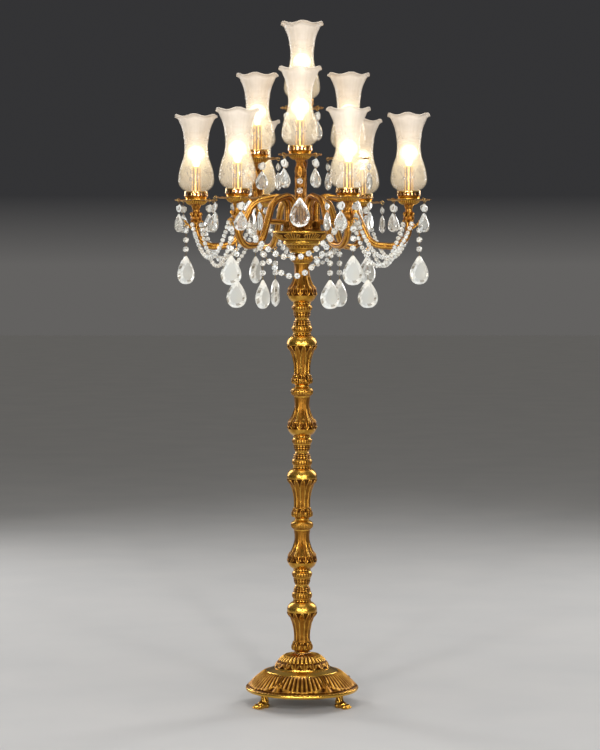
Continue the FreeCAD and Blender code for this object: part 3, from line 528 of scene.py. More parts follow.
def formMesh(name, item, finish, flat=False, sharp=48, values=()):
    mesh = bpy.data.meshes.new(name)
    faces = item["quads"].tolist() + item["tris"].tolist()
    mesh.from_pydata((item["points"] * mm).tolist(), [], faces)
    mesh.update()
    for key, marks in dict(values, recess=item["recess"]).items():
        mesh.attributes.new(key, "FLOAT", "POINT").data.foreach_set("value", marks.astype(np.float32))
    if flat:
        mesh.shade_flat()
        sparks = item["spark"].astype(np.float32)
        mesh.attributes.new("spark", "FLOAT", "FACE").data.foreach_set("value", sparks)
    else:
        mesh.shade_smooth()
        mesh.set_sharp_from_angle(angle=math.radians(sharp))
    mesh.materials.append(finishes[finish])
    return mesh


def addPiece(name, mesh, body="root", replaces=(), angle=0.0, place=(0, 0, 0)):
    piece = addObject(name, mesh)
    spot = Vector(place) + Vector((lampAxis.x, lampAxis.y, floorHeight))
    piece.matrix_world = Matrix.Translation(spot * mm) @ Matrix.Rotation(math.radians(angle), 4, "Z")
    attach(piece, body)
    if replaces:
        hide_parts(*replaces)


# One piece that stands in for one node.
def addForm(name, item, finish, slot, node, **look):
    addPiece(name, formMesh(name, item, finish, **look), replaces=[node])


# base

base = {"skirtRadius": 141, "skirtTop": 92, "domeRadius": 69, "domeHeight": 34, "domeTop": 126,
        "pipeHole": 7, "skirtRelief": 2.8, "domeRelief": 2.6, "fans": 6, "fanPetals": 11,
        "fanSpan": 66, "scrollApart": 6.5, "scrollRadius": 4.3, "scrollEdge": 6.4, "ropeTurns": 90,
        "gadroons": 34, "wear": 0.27, "studReach": 107, "segments": 816, "wall": 4,
        "collar": [(7, 126), (21, 126), (22.2, 128, "arc"), (21, 130), (7, 130)]}
skirtShares = [(0.511, 1), (0.596, 0.95, "arc"), (0.709, 0.87), (0.858, 0.674, "arc"),
               (0.965, 0.511), (1, 0.446, "arc"), (0.972, 0.397)]
skirtInside = [(0.945, 0.45), (0.84, 0.645, "arc"), (0.70, 0.825), (0.59, 0.90, "arc"),
               (0.5, 0.957)]
skirtRimShares = [(0.945, 0.45), (0.960, 0.405), (0.972, 0.397)]
domeShares = [(1, 0), (0.86, 0.52, "arc"), (0.60, 0.94), (0.33, 1)]
bossOutline = [(2.6, 47), (8.4, 47), (8.4, 64), (2.6, 64)]
pawAngles = [-30, 90, 210]


def skirtRelief(theta, share):
    # share runs from the foot rim up the slope to the dome's seat
    fans, inFan = fanRow(theta, share, base["fans"], base["fanPetals"], 0.78, 0.17, closed=0.86, crisp=1.7)
    gap, inGap = fanRow(theta, share, base["fans"], 4, 0.50, 0.17, turn=0.5, closed=0.10)
    field = np.where(inFan, fans, np.where(inGap, gap, -0.7))
    across = (((theta * base["fans"] / (2 * math.pi) + 0.5) % 1) * 2 - 1) * base["fanSpan"]
    for side in (-base["scrollApart"], base["scrollApart"]):
        scroll = np.hypot(across - side, (share - 0.45) * base["skirtTop"])
        curl = 1.8 * ridge(scroll - base["scrollRadius"], 1.3) + 1.4 * ridge(scroll, 1.6) - 0.9
        field = np.where(scroll < base["scrollEdge"], curl, field)
    relief = np.where((share > 0.165) & (share < 0.775), field, 0)
    rope = np.abs(np.sin((theta * base["ropeTurns"] / (2 * math.pi) + share * 14) % 1 * math.pi)) - 0.8
    relief = np.where((share > 0.115) & (share < 0.155), rope, relief)
    groove = -1.3 * ridge(share - 0.785, 0.011) - 0.9 * ridge(share - 0.16, 0.007)
    return base["skirtRelief"] * 0.5 * (relief + groove)


def skirtForms():
    radius, top, hole = base["skirtRadius"], base["skirtTop"], base["pipeHole"]
    outside = turnedForm(traceOutline(scaleShares(skirtShares, radius, top)[::-1], 1.1),
                         base["segments"], skirtRelief, tone=0.82)
    recess = outside["recess"]
    outside["recess"] = np.where(recess < 0, recess, np.maximum(recess, base["wear"]))
    inside = traceOutline(scaleShares(skirtInside, radius, top) + [(hole, top - base["wall"])], 4)[::-1]
    rim = np.array(scaleShares(skirtRimShares, radius, top))
    seat = np.array([[skirtShares[0][0] * radius, top], [40, top], [hole, top]])
    forms = [outside, turnedForm(inside, 120), turnedForm(rim, base["segments"]), turnedForm(seat, 96)]
    for angle in pawAngles:
        boss = turnedForm(traceOutline(bossOutline, 4), 24)
        forms.append(turnForm(boss, move=aroundAxis(angle, base["studReach"], 0)))
    return forms


addForm("baseSkirt", joinForms(skirtForms()), "castGilt", giltSlot, "base_skirt")


def domeRelief(theta, share):
    # gadroons from the collar down to a row of leaf tips with dark eyes between
    half = base["gadroons"] / 2
    ribs = 2 * np.abs(np.sin(theta * half)) ** 0.9 - 1
    field = ribs * easeBand(share, 0.25, 0.29, 0.84, 0.97)
    tips, inTips = leafPlaces(theta, share, half, 0.285, 0.05, 0.5, 0.28, 0.9, 0.25)
    field = np.where(share < 0.26, np.where(inTips, tips, -1.2), field)
    field = np.where(share < 0.045, 0.4, field)
    eyes = beadRow(theta, share, half, 0.235, 0.045)
    return base["domeRelief"] * 0.5 * (field - 1.1 * np.clip(eyes, 0, 1)) * easeShare(0, 0.02, share)


domeOutline = traceOutline(scaleShares(domeShares, base["domeRadius"], base["domeHeight"], base["skirtTop"])
                           + [(base["pipeHole"], base["domeTop"])], 1.0)
addForm("baseDome", turnedForm(domeOutline, 504, domeRelief, tone=0.85), "castGilt", giltSlot, "base_dome")


def cordedRelief(theta, share):
    return 0.35 * ribRow(theta, 44, power=0.8) * ridge(share - 0.5, 0.2)


collarOutline = traceOutline(base["collar"], 0.8)
addForm("footCollar", turnedForm(collarOutline, 176, cordedRelief), "polishedGilt", giltSlot, "foot_collar")
print("base skirt and dome made")

paw = {"reach": 107, "toes": 4, "toeGap": 7.7, "toeReach": 21, "toeArc": 0.35, "toeFan": 0.021,
       "voxel": 0.5, "rounds": 24, "depth": 0.45,
       "cleftFrom": (8, 15), "cleftTop": (11, 14), "cleftIn": 1.8, "cleftDown": 0.16, "legFrom": (12, 19),
       "leg": [(0.2, 8), (8.5, 9), (10.4, 14, "arc"), (9.6, 21), (9.0, 28, "arc"), (10.4, 37),
               (12, 43), (12, 47), (0.2, 47)],
       "pads": [(6.5, 8.8, (13, 10.5, 9.6)), (-5, 6.5, (8, 9.5, 7))],
       "knuckles": [(0, 5.2, (6.4, 3.0, 5.2)), (-8.5, 9.6, (7.0, 2.3, 4.6)), (6.4, 2.7, (4.0, 1.4, 2.6))]}


def tuftRelief(theta, share):
    return 1.3 * (np.abs(np.sin(theta * 4 + 9 * share)) ** 0.7 - 0.6) * np.sin(share * math.pi)


def pawForm():
    # leg with tufts of fur, broad instep and pad, knuckled toes with claws
    reach = paw["reach"]
    lumps = [turnForm(turnedForm(traceOutline(paw["leg"], 0.9), 96, tuftRelief), move=(reach, 0, 0))]
    for along, height, size in paw["pads"]:
        lumps.append(turnForm(ballForm((0, 0, 0), 1, 24, 36), matrix=np.diag(size),
                              move=(reach + along, 0, height)))
    for toe in range(paw["toes"]):
        side = (toe - (paw["toes"] - 1) / 2) * paw["toeGap"]
        out = reach + paw["toeReach"] - abs(side) * paw["toeArc"]
        for forward, height, size in paw["knuckles"]:
            lumps.append(turnForm(ballForm((0, 0, 0), 1, 16, 24), matrix=np.diag(size),
                                  move=(out + forward, side * (1 + paw["toeFan"] * forward), height)))
    return joinForms(lumps)


# The lumps fused into one skin and softened a little.
def fusedMesh(item):
    source = addObject("pawSource", formMesh("pawSource", item, "castGilt"))
    fuse = source.modifiers.new("fuse", "REMESH")
    fuse.mode = "VOXEL"
    fuse.voxel_size = paw["voxel"] * mm
    soften = source.modifiers.new("soften", "SMOOTH")
    soften.factor = 0.5
    soften.iterations = 1
    graph = bpy.context.evaluated_depsgraph_get()
    fused = bpy.data.meshes.new_from_object(source.evaluated_get(graph))
    bpy.data.objects.remove(source)
    return fused


def fusedPaw():
    fused = fusedMesh(pawForm())
    spots = np.array([vertex.co for vertex in fused.vertices], float) / mm
    spots[:, 2] = np.maximum(spots[:, 2], 0)
    # a point that lies under the mean of the skin round it is in a hollow
    first, second = np.array([list(edge.vertices) for edge in fused.edges]).T
    smoothed = spots
    for _ in range(paw["rounds"]):
        total = np.zeros(spots.shape)
        degree = np.zeros(len(spots))
        for here, there in ((first, second), (second, first)):
            np.add.at(total, here, smoothed[there])
            np.add.at(degree, here, 1)
        smoothed = total / degree[:, None]
    normals = np.array([vertex.normal for vertex in fused.vertices])
    hollow = np.clip(np.einsum("ij,ij->i", smoothed - spots, normals) / paw["depth"], -1, 1)
    # clefts between the toes
    gap = paw["toeGap"]
    cleft = ridge((spots[:, 1] + gap / 2) % gap - gap / 2, 1.5) * (np.abs(spots[:, 1]) < 1.4 * gap)
    cleft *= easeShare(*paw["cleftFrom"], spots[:, 0] - paw["reach"])
    cleft *= 1 - easeShare(*paw["cleftTop"], spots[:, 2])
    spots[:, 0] -= paw["cleftIn"] * cleft
    spots[:, 2] *= 1 - paw["cleftDown"] * cleft
    # the hollows and the clefts between the toes are coloured darker, partly patina and partly painted
    # shade, and the leg darker towards the top
    legDark = 0.36 * easeShare(*paw["legFrom"], spots[:, 2])
    faces = [list(face.vertices) for face in fused.polygons]
    quads, tris = [[face for face in faces if len(face) == corners] for corners in (4, 3)]
    return form(spots, quads, tris, np.clip(0.10 + legDark + 1.7 * hollow + 0.8 * cleft, 0, 1))


pawMesh = formMesh("pawFoot", fusedPaw(), "castGilt")
for k, angle in enumerate(pawAngles):
    addPiece(f"pawFoot_{k + 1}", pawMesh, replaces=["paw_feet"], angle=angle)
print("paw feet made")

# column

column = {"foot": 130, "units": 3, "vaseRadius": 37.5, "upperHeight": 124, "lowerHeight": 126.7,
          "knopRadius": 24, "knopHeight": 82, "leaves": 12, "relief": 2.3, "segments": 256, "wear": 0.16,
          "pipeHole": 7}
upperShares = [(0.60, 0), (0.985, 0.16, "arc"), (0.76, 0.345), (0.50, 0.60, "arc"), (0.58, 0.80),
               (0.70, 0.835), (0.735, 0.885, "arc"), (0.70, 0.94), (0.49, 0.985), (0.49, 1)]
lowerShares = [(0.48, 0), (0.48, 0.016), (0.64, 0.05), (0.69, 0.11, "arc"), (0.64, 0.175),
               (0.54, 0.235), (0.54, 0.40, "arc"), (0.66, 0.585), (0.80, 0.69), (1, 0.85, "arc"),
               (0.61, 1)]
knopShares = [(0.90, 0), (0.90, 0.06), (1, 0.13), (1.04, 0.20, "arc"), (1, 0.26), (0.88, 0.32),
              (0.84, 0.40), (0.68, 0.50), (0.84, 0.60), (0.88, 0.70), (1, 0.79),
              (1.04, 0.84, "arc"), (1, 0.89), (0.88, 0.94), (0.88, 1)]


def upperRelief(theta, share):
    leaves = leafRow(theta, share, column["leaves"], 0.78, 0.135, border=0.15, rib=0.5, shoulder=0.72)
    field = leaves * (1 - 0.75 * easeShare(0.45, 0.62, share))
    loops = beadRow(theta + math.pi / column["leaves"], share, column["leaves"], 0.23, 0.055)
    ribs = 0.5 * ribRow(theta, 40) * easeBand(share, 0.79, 0.82, 0.90, 0.93)
    return column["relief"] * 0.55 * (field - np.clip(loops + 0.2, 0, 1) + ribs)


def lowerRelief(theta, share):
    leaves, inLeaves = leafPlaces(theta, share, column["leaves"], 0.22, 0.80, 0.5, 0.14, 0.6, 0.55)
    fine = 0.35 * ribRow(theta, column["leaves"] * 3, power=0.8)
    field = np.where(inLeaves, leaves * 0.9 + fine * easeShare(0.35, 0.5, share), 0)
    tips, inTips = leafPlaces(theta, share, 10, 0.045, 0.215, 0, 0.2, 0.8, 0.45)
    field = np.where(inTips, tips * 1.1, field)
    eyes = beadRow(theta + math.pi / 10, share, 10, 0.165, 0.03)
    ribs = 0.5 * ribRow(theta, 36) * easeBand(share, 0.04, 0.05, 0.085, 0.1)
    return column["relief"] * 0.5 * (field - np.clip(eyes + 0.1, 0, 1) + ribs)


def knopRelief(theta, share):
    # beads at both ends, ribs on the two rings and crossed scrolls on the waist
    field = 1.2 * sum(beadRow(theta, share, 16, middle, 0.035) for middle in (0.03, 0.97))
    scroll = 1.1 * np.sin(theta * 8 + 46 * share) * np.sin(theta * 8 - 46 * share)
    ribs = 0.7 * ribRow(theta, 22, power=0.7)
    for low, high, work in ((0.27, 0.47, scroll), (0.52, 0.72, scroll),
                            (0.11, 0.26, ribs), (0.76, 0.90, ribs)):
        field = field + work * easeBand(share, low, low + 0.03, high - 0.03, high)
    return 0.75 * field


def columnForm(shares, radius, height, relief):
    hole = column["pipeHole"]
    outline = traceOutline([(hole, 0)] + scaleShares(shares, radius, height) + [(hole, height)], 1.0)
    places = outline[:, 1] / height
    plain = (outline[:, 0] < radius * shares[0][0] - 0.5) & ((places < 0.001) | (places > 0.999))

    def edgedRelief(theta, share):
        return np.where(plain[:, None], 0, relief(theta, share))
    item = turnedForm(outline, column["segments"], edgedRelief, places, tone=0.85)
    item["recess"] = np.maximum(item["recess"], column["wear"])
    return item


columnParts = {
    "lowerVase": ("column_lower_vases", lowerShares, column["vaseRadius"], column["lowerHeight"], 0,
                  lowerRelief),
    "knop": ("column_knops", knopShares, column["knopRadius"], column["knopHeight"],
             column["lowerHeight"], knopRelief),
    "upperVase": ("column_upper_vases", upperShares, column["vaseRadius"], column["upperHeight"],
                  column["lowerHeight"] + column["knopHeight"], upperRelief),
}
unitHeight = column["upperHeight"] + column["lowerHeight"] + column["knopHeight"]
for name, (node, shares, radius, height, lift, relief) in columnParts.items():
    mesh = formMesh(name, columnForm(shares, radius, height, relief), "castGilt")
    for k in range(column["units"]):
        addPiece(f"{name}_{k + 1}", mesh, replaces=[node], angle=4 * k,
                 place=(0, 0, column["foot"] + k * unitHeight + lift))
print("column made")

# hub

hub = {"foot": 1128.1, "coneRadius": 47.5, "coneHeight": 26, "shells": 8, "petals": 7, "relief": 3.0,
       "bowl": [(46, 0), (48, 3), (60, 11.5, "arc"), (73, 22.5), (75, 25.5, "arc"), (72.75, 28)],
       "inside": [(72.75, 28), (68.75, 28), (53.75, 6), (48, 6)],
       "spider": [(7, 0), (48, 0), (48, 14.9), (47, 16), (20.4, 16), (20, 16.5), (20, 62), (16, 62)],
       "spiderFoot": 1160.1, "spiderFace": 1176.1, "stemFoot": 1222.1, "seat": 1512,
       "stem": [(20, 0), (20, 4), (11, 12), (11, 114.7), (14, 127.5, "arc"), (11, 140.2),
                (11, 229.4), (14, 254.9), (5, 254.9)]}
coneShares = [(0.63, 0), (0.66, 0.15), (0.78, 0.55, "arc"), (1, 0.85), (1, 1)]


def coneRelief(theta, share):
    # fine bands of chevrons and leaves between thin rings
    band = ribRow(theta + 1.6 * share, 72, power=0.8) * easeBand(share, 0.08, 0.12, 0.30, 0.34)
    leaves = leafRow(theta, share, 30, 0.38, 0.70, border=0.24, rib=0.9, shoulder=0.4)
    rings = sum(ridge(share - place, 0.014) for place in (0.05, 0.355, 0.73, 0.80, 0.93))
    return 0.55 * (0.7 * band + leaves - 1.1 * rings)


coneOutline = traceOutline(scaleShares(coneShares, hub["coneRadius"], hub["coneHeight"], hub["foot"]), 0.7)
addForm("hubCone", turnedForm(coneOutline, 432, coneRelief, tone=0.85), "castGilt", giltSlot, "hub_cone")


def bowlRelief(theta, share):
    # fans standing on a ring of fine leaves, with a net of small scales between them
    shells, inShells = fanRow(theta, share, hub["shells"], hub["petals"], 0.20, 0.82, closed=0.62, crisp=1.5)
    scales = 0.9 * np.abs(np.sin(theta * 36 + share * 40) * np.sin(theta * 36 - share * 40)) ** 0.5 - 0.95
    field = np.where((share > 0.235) & (share < 0.80), np.where(inShells, shells, scales), 0)
    foot = leafRow(theta, share, 48, 0.08, 0.21, border=0.25, rib=0.9, shoulder=0.3)
    rings = ridge(share - 0.225, 0.010) + ridge(share - 0.815, 0.010) + ridge(share - 0.06, 0.012)
    return hub["relief"] * 0.5 * (field + 0.6 * foot - rings)


bowlFoot = hub["foot"] + hub["coneHeight"]
bowlForms = [turnedForm(traceOutline(hub["bowl"], 0.7) + [0, bowlFoot], 576, bowlRelief, tone=0.95),
             turnedForm(traceOutline(hub["inside"], 3) + [0, bowlFoot], 120)]
addForm("hubBowl", joinForms(bowlForms), "castGilt", giltSlot, "hub_bowl")


def neckRelief(theta, share):
    return 0.7 * leafRow(theta, share, 12, 0.50, 0.97, border=0.2, rib=0.8)


spiderOutline = traceOutline(hub["spider"], 1.5) + [0, hub["spiderFoot"]]
addForm("armSpider", turnedForm(spiderOutline, 144, neckRelief), "armGilt", giltSlot, "arm_spider")


def stemRelief(theta, share):
    leaves = leafRow(theta, share, 8, 0.08, 0.42, border=0.18, rib=0.7)
    higher = leafRow(theta, share, 8, 0.60, 0.95, turn=0.5, border=0.18, rib=0.7)
    spiral = 0.5 * np.sin(theta * 6 + share * 40) * ridge(share - 0.52, 0.05)
    return 0.8 * (leaves + higher + spiral)


stemOutline = traceOutline(hub["stem"], 1.2) + [0, hub["stemFoot"]]
addForm("centreStem", turnedForm(stemOutline, 112, stemRelief), "armGilt", giltSlot, "centre_stem")
print("hub made")

# arms

lowAngles = [-65.5 + 60 * k for k in range(6)]
highAngles = [-92 + 120 * k for k in range(3)]
panStack = 35
lowArm = {"reach": 267, "seat": 1282, "tube": 8.3, "root": 36, "flutes": 6, "fluteDepth": 0.9,
          "leafHeight": 44, "hookReach": 26, "hookDrop": 85, "hornDrop": 75, "curlDrop": 58,
          "collarDrop": 97, "cupHeight": 31, "shank": (6.5, 19), "shankRadius": 2,
          "corners": [(36, 0, hub["spiderFace"]), (36, 0, 1274), (122, 0, 1256), (172, 0, 1147),
                      (267, 0, 1141)],
          "bends": [27, 46, 46, 46], "innerReach": 165, "innerHeight": 1138,
          "leaf": [(5, 0), (8.1, 0), (12.4, 0.16), (13, 0.30), (9.1, 0.50), (8.1, 0.72), (11, 1), (5, 1)],
          "collar": [(7.6, 0), (10.2, 1.5), (10.8, 3.5, "arc"), (10.2, 5.5), (7.6, 7)],
          "cup": [(8, 0), (9.5, 0.1), (10.4, 0.32), (9.2, 0.5), (10.6, 0.78), (11.6, 0.95), (8, 1)]}
highArm = {"reach": 133, "seat": 1389, "tube": 6.8, "flutes": 6, "fluteDepth": 0.8,
           "leafHeight": 112, "hookReach": 26, "hookDrop": 74.5,
           "corners": [(20.3, 0, 1203), (133, 0, 1209)], "bends": [50],
           "leaf": [(5, 0), (7.2, 0), (11.4, 0.08), (12.3, 0.45), (11.7, 0.82), (8.1, 0.92), (11, 1),
                    (5, 1)]}
# the scroll with its leaf, and the curled leaf tips: along and up from where each springs
scroll = {"path": [(4, -17), (13, -14), (22, -5), (29, 1.6), (27.4, 3.2), (24.8, -0.4), (26.4, -2.2)],
          "leaf": [(3, -1), (9, -4), (15, -9)], "widths": [3.2, 2.2, 1.3], "rise": 8.5}
tipCurl = {"path": [(7, -7), (12, -4.5), (16.6, 0.4), (15, 3.6), (12.4, 2.4), (12.6, 0.4)],
           "widths": [2.6, 2.3, 1.5]}
# horns that the swags hang from, each tip by its place outwards and sideways from the light
horn = {"tips": [(9, 20), (-13, 18)], "root": 4, "drop": 7, "widths": (2.6, 1.3), "ball": 2.5,
        "arch": 5.5, "archEnd": 4.6}
eye = {"radius": 3.5, "wire": 0.9}
quarters = (45, 135, 225, 315)


# A curl in the plane of the arm through (along, up) points.
def curledForm(points, widths, count, sides=12):
    path = softPath([(along, 0, up) for along, up in points], count)
    share = np.linspace(0, 1, count)
    return sweptForm(path, (0, 1, 0), np.interp(share, np.linspace(0, 1, len(widths)), widths), sides)


def leafCasting(reach, top, height, outline, tiers, leaves, relief, segments=88):
    def tiered(theta, share):
        field = 0
        for index in range(tiers):
            root, tip = index / tiers, min((index + 1.02) / tiers, 0.99)
            row = leafRow(theta, share, leaves, root, tip, turn=0.5 * (index % 2), border=0.22,
                          rib=0.9, shoulder=0.35)
            lean = (share - root) / (tip - root)
            inside = (lean >= 0) & (lean <= 1) & (row > -0.85)
            field = field + row + 1.1 * lean ** 2 * inside
        return relief * field
    line = traceOutline([(radius, top - height * (1 - lift)) for radius, lift in outline], 1.0)
    return turnForm(turnedForm(line, segments, tiered, tone=0.62), move=(reach, 0, 0))


def hookOf(arm):
    return arm["reach"] + arm["hookReach"], arm["seat"] - arm["hookDrop"]


def eyeForm(reach, height):
    return ringForm((reach, 0, height + eye["radius"]), eye["radius"], eye["wire"], (1, 0, 0))


# Tube, leaf casting under the seat, and the scroll that carries the hanger's eye.
def armForms(arm, tiers, leaves, segments):
    def flutes(theta, share):
        return arm["fluteDepth"] * (np.abs(np.cos(theta * arm["flutes"] / 2)) ** 0.5 - 0.8)
    reach, top = arm["reach"], arm["seat"] - panStack
    eyeReach, eyeHeight = hookOf(arm)
    path = bentPath(arm["corners"] + [(reach, 0, top)], arm["bends"])
    forms = [sweptForm(path, (0, 1, 0), arm["tube"], 40, flutes),
             leafCasting(reach, top, arm["leafHeight"], arm["leaf"], tiers, leaves, 0.75, segments)]
    for item in (curledForm(scroll["path"], scroll["widths"], 34),
                 curledForm(scroll["leaf"], [2.2, 1.2], 14, 10)):
        forms.append(turnForm(item, move=(reach, 0, eyeHeight + scroll["rise"])))
    return forms + [eyeForm(eyeReach, eyeHeight)]


def hornForms(reach, height):
    forms = []
    for side in (1, -1):
        for shift, wide in horn["tips"]:
            tip = np.array([reach + shift, side * wide, height])
            start = np.array([reach + shift * 0.15, side * horn["root"], height - horn["drop"]])
            path = softPath([start, (start + tip) / 2 + [0, 0, horn["arch"]],
                             (start + tip * 3) / 4 + [0, 0, horn["archEnd"]], tip], 16)
            across = np.cross(tip - start, (0, 0, 1))
            forms += [sweptForm(path, across, np.linspace(*horn["widths"], 16), 10),
                      ballForm(tip, horn["ball"])]
    return forms


def lowArmForms():
    reach, seat = lowArm["reach"], lowArm["seat"]
    forms = armForms(lowArm, 2, 6, 88) + hornForms(reach, seat - lowArm["hornDrop"])
    collar = turnedForm(traceOutline(lowArm["collar"], 0.8), 40)
    forms.append(turnForm(collar, move=(reach, 0, seat - lowArm["collarDrop"])))
    for angle in quarters:
        tip = turnForm(curledForm(tipCurl["path"], tipCurl["widths"], 22), angle)
        forms.append(turnForm(tip, move=(reach, 0, seat - lowArm["curlDrop"])))
    # hook under the swan neck
    inner, height = lowArm["innerReach"], lowArm["innerHeight"]
    foot, end = [(inner, 0, height + lift) for lift in lowArm["shank"]]
    forms += [eyeForm(inner, height), rodForm(foot, end, lowArm["shankRadius"], 12)]
    # leaf cup round the arm's root
    cupTop = hub["spiderFace"] + lowArm["cupHeight"]
    forms.append(leafCasting(lowArm["root"], cupTop, lowArm["cupHeight"], lowArm["cup"], 2, 6, 1.1, 96))
    return forms


for name, node, forms, angles in (("lowArm", "lower_arm", lowArmForms(), lowAngles),
                                  ("highArm", "upper_arm", armForms(highArm, 5, 7, 98), highAngles)):
    mesh = formMesh(name, joinForms(forms), "armGilt")
    for k, angle in enumerate(angles):
        addPiece(f"{name}_{k + 1}", mesh, replaces=[f"{node}_{k + 1}"], angle=angle)
print("arms made")

# light fittings

lights = [(angle, lowArm["reach"], lowArm["seat"]) for angle in lowAngles]
lights += [(angle, highArm["reach"], highArm["seat"]) for angle in highAngles]
lights.append((0, 0, hub["seat"]))
# outlines from each fitting's own foot, which lies a drop below the cup's top
pan = {"tips": 20, "ribs": 32, "edge": (34, 53), "waveOut": (0.035, 0.015), "waveUp": (2.2, 1.0),
       "segments": 240,
       "outline": [(5, 0), (11, 0), (21.8, 4.0, "arc"), (28, 11.8), (40, 10.8), (52, 11.8),
                   (53.1, 12.5, "arc"), (52, 13.2), (40, 12.3), (29, 13.4), (25.5, 18.5), (5, 18.5)]}
cup = {"blocks": 9, "segments": 216, "height": 16.5,
       "outline": [(5, 0), (27.2, 0), (29.2, 4, "arc"), (29.3, 8.2), (29.3, 15), (29.8, 15.8, "arc"),
                   (29.3, 16.5), (27.8, 16.5), (27.8, 2), (12.2, 2)]}
sleeve = {"drop": 14.5, "segments": 96,
          "outline": [(11, 0), (12, 0), (12, 75), (12.2, 76, "arc"), (11.6, 76.5), (11, 76.5)]}


def panRelief(theta, share):
    # ribs on the funnel, leaf tips round the edge above and below
    leafShape = {"border": 0.22, "rib": 0.8, "shoulder": 0.5}
    return (0.6 * ribRow(theta, pan["ribs"], power=0.8) * easeBand(share, 0.07, 0.12, 0.25, 0.29)
            + 0.5 * leafRow(theta, share, pan["tips"], 0.30, 0.485, **leafShape)
            + 0.35 * leafRow(theta, share, pan["tips"], 0.68, 0.50, **leafShape))


def panForm():
    # the edge is cut into waves
    item = turnedForm(traceOutline(pan["outline"]), pan["segments"], panRelief, tone=0.5)
    points = item["points"]
    edge = easeShare(*pan["edge"], np.hypot(points[:, 0], points[:, 1]))
    wave = np.abs(np.sin(np.arctan2(points[:, 1], points[:, 0]) * pan["tips"] / 2))
    out, up = [size * wave - less for size, less in (pan["waveOut"], pan["waveUp"])]
    points[:, :2] *= (1 + edge * out)[:, None]
    points[:, 2] += edge ** 2 * up
    return item


def blockRelief(theta, share):
    # a row of raised blocks between two thin beads
    block = np.clip(3.2 * (np.abs(np.sin(theta * cup["blocks"])) - 0.45), -0.5, 1)
    return 0.55 * block * easeBand(share, 0.36, 0.38, 0.475, 0.495)


def sleeveFlutes(theta, share):
    return 0.6 * (np.abs(np.cos(theta * 4)) ** 0.7 - 1) * easeBand(share, 0.03, 0.06, 0.93, 0.96)


cupForm = turnedForm(traceOutline(cup["outline"], 0.9), cup["segments"], blockRelief)
sleeveForm = turnedForm(traceOutline(sleeve["outline"], 2.5), sleeve["segments"], sleeveFlutes, tone=1.15)
fittings = {"dripPan": (panForm(), panStack, "drip_pans", "castGilt", giltSlot),
            "fitterCup": (cupForm, cup["height"], "fitter_cups", "polishedGilt", polishSlot),
            "candleSleeve": (sleeveForm, sleeve["drop"], "candle_sleeves", "sleeveGilt", polishSlot)}
for name, (item, drop, node, finish, slot) in fittings.items():
    mesh = formMesh(name, item, finish)
    for k, (angle, reach, seat) in enumerate(lights):
        addPiece(f"{name}_{k + 1}", mesh, replaces=[node], angle=angle,
                 place=aroundAxis(angle, reach, seat - drop))
print("light fittings made")

# glass shades

shade = {"radius": 45.2, "height": 192.5, "stand": 14.2, "neck": 27.3, "wall": 2.4, "lobes": 6,
         "dip": 4.5, "glowHeight": 102, "rows": 1.7, "spread": 0.045, "segments": 168,
         "thin": 0.12, "frost": [(0.14, 0.22, 0.50), (0.50, 0.44, 0.92), (0.14, 0.86, 0.98)],
         "turns": [4, -6, 0, 8, -4, 3, 0, 6, -5, 2]}
glassOuter = [(0.64, 0.012), (0.93, 0.076, "arc"), (1, 0.165), (0.915, 0.29, "arc"), (0.73, 0.42),
              (0.646, 0.571, "arc"), (0.70, 0.70), (0.79, 0.83, "arc"), (0.955, 0.93),
              (1.05, 0.970, "arc"), (1.184, 0.985)]
# sprays etched round the belly: angle, height and size of each flower
sprays = [(8, 40, 9.5), (42, 57, 8.0), (74, 31, 8.5), (106, 52, 10.0), (141, 34, 8.0), (176, 57, 8.5),
          (209, 33, 9.5), (243, 54, 8.5), (279, 36, 9.0), (318, 52, 9.5)]


def etchedFlowers(theta, height):
    marks = np.zeros_like(theta)
    for index, (angle, lift, size) in enumerate(sprays):
        across = ((np.degrees(theta) - angle + 180) % 360 - 180) * 0.70
        rise = height - lift
        rho, phi = np.hypot(across, rise), np.arctan2(rise, across)
        petal = size * (0.74 + 0.26 * np.cos(5 * phi + index))
        flower = ridge(rho - petal, 1.15) + ridge(rho, 2.0)
        lean = 1 if index % 2 else -1
        stem = ridge(across - lean * (2.2 + 0.05 * (rise + size) ** 2), 1.0)
        stem = stem * (rise < -size) * (rise > -size - 14)
        curl = np.hypot(across - lean * (size + 5), rise + size * 0.8)
        marks = marks + flower + stem + ridge(curl - 3.4, 1.1)
    return np.clip(marks, 0, 1)


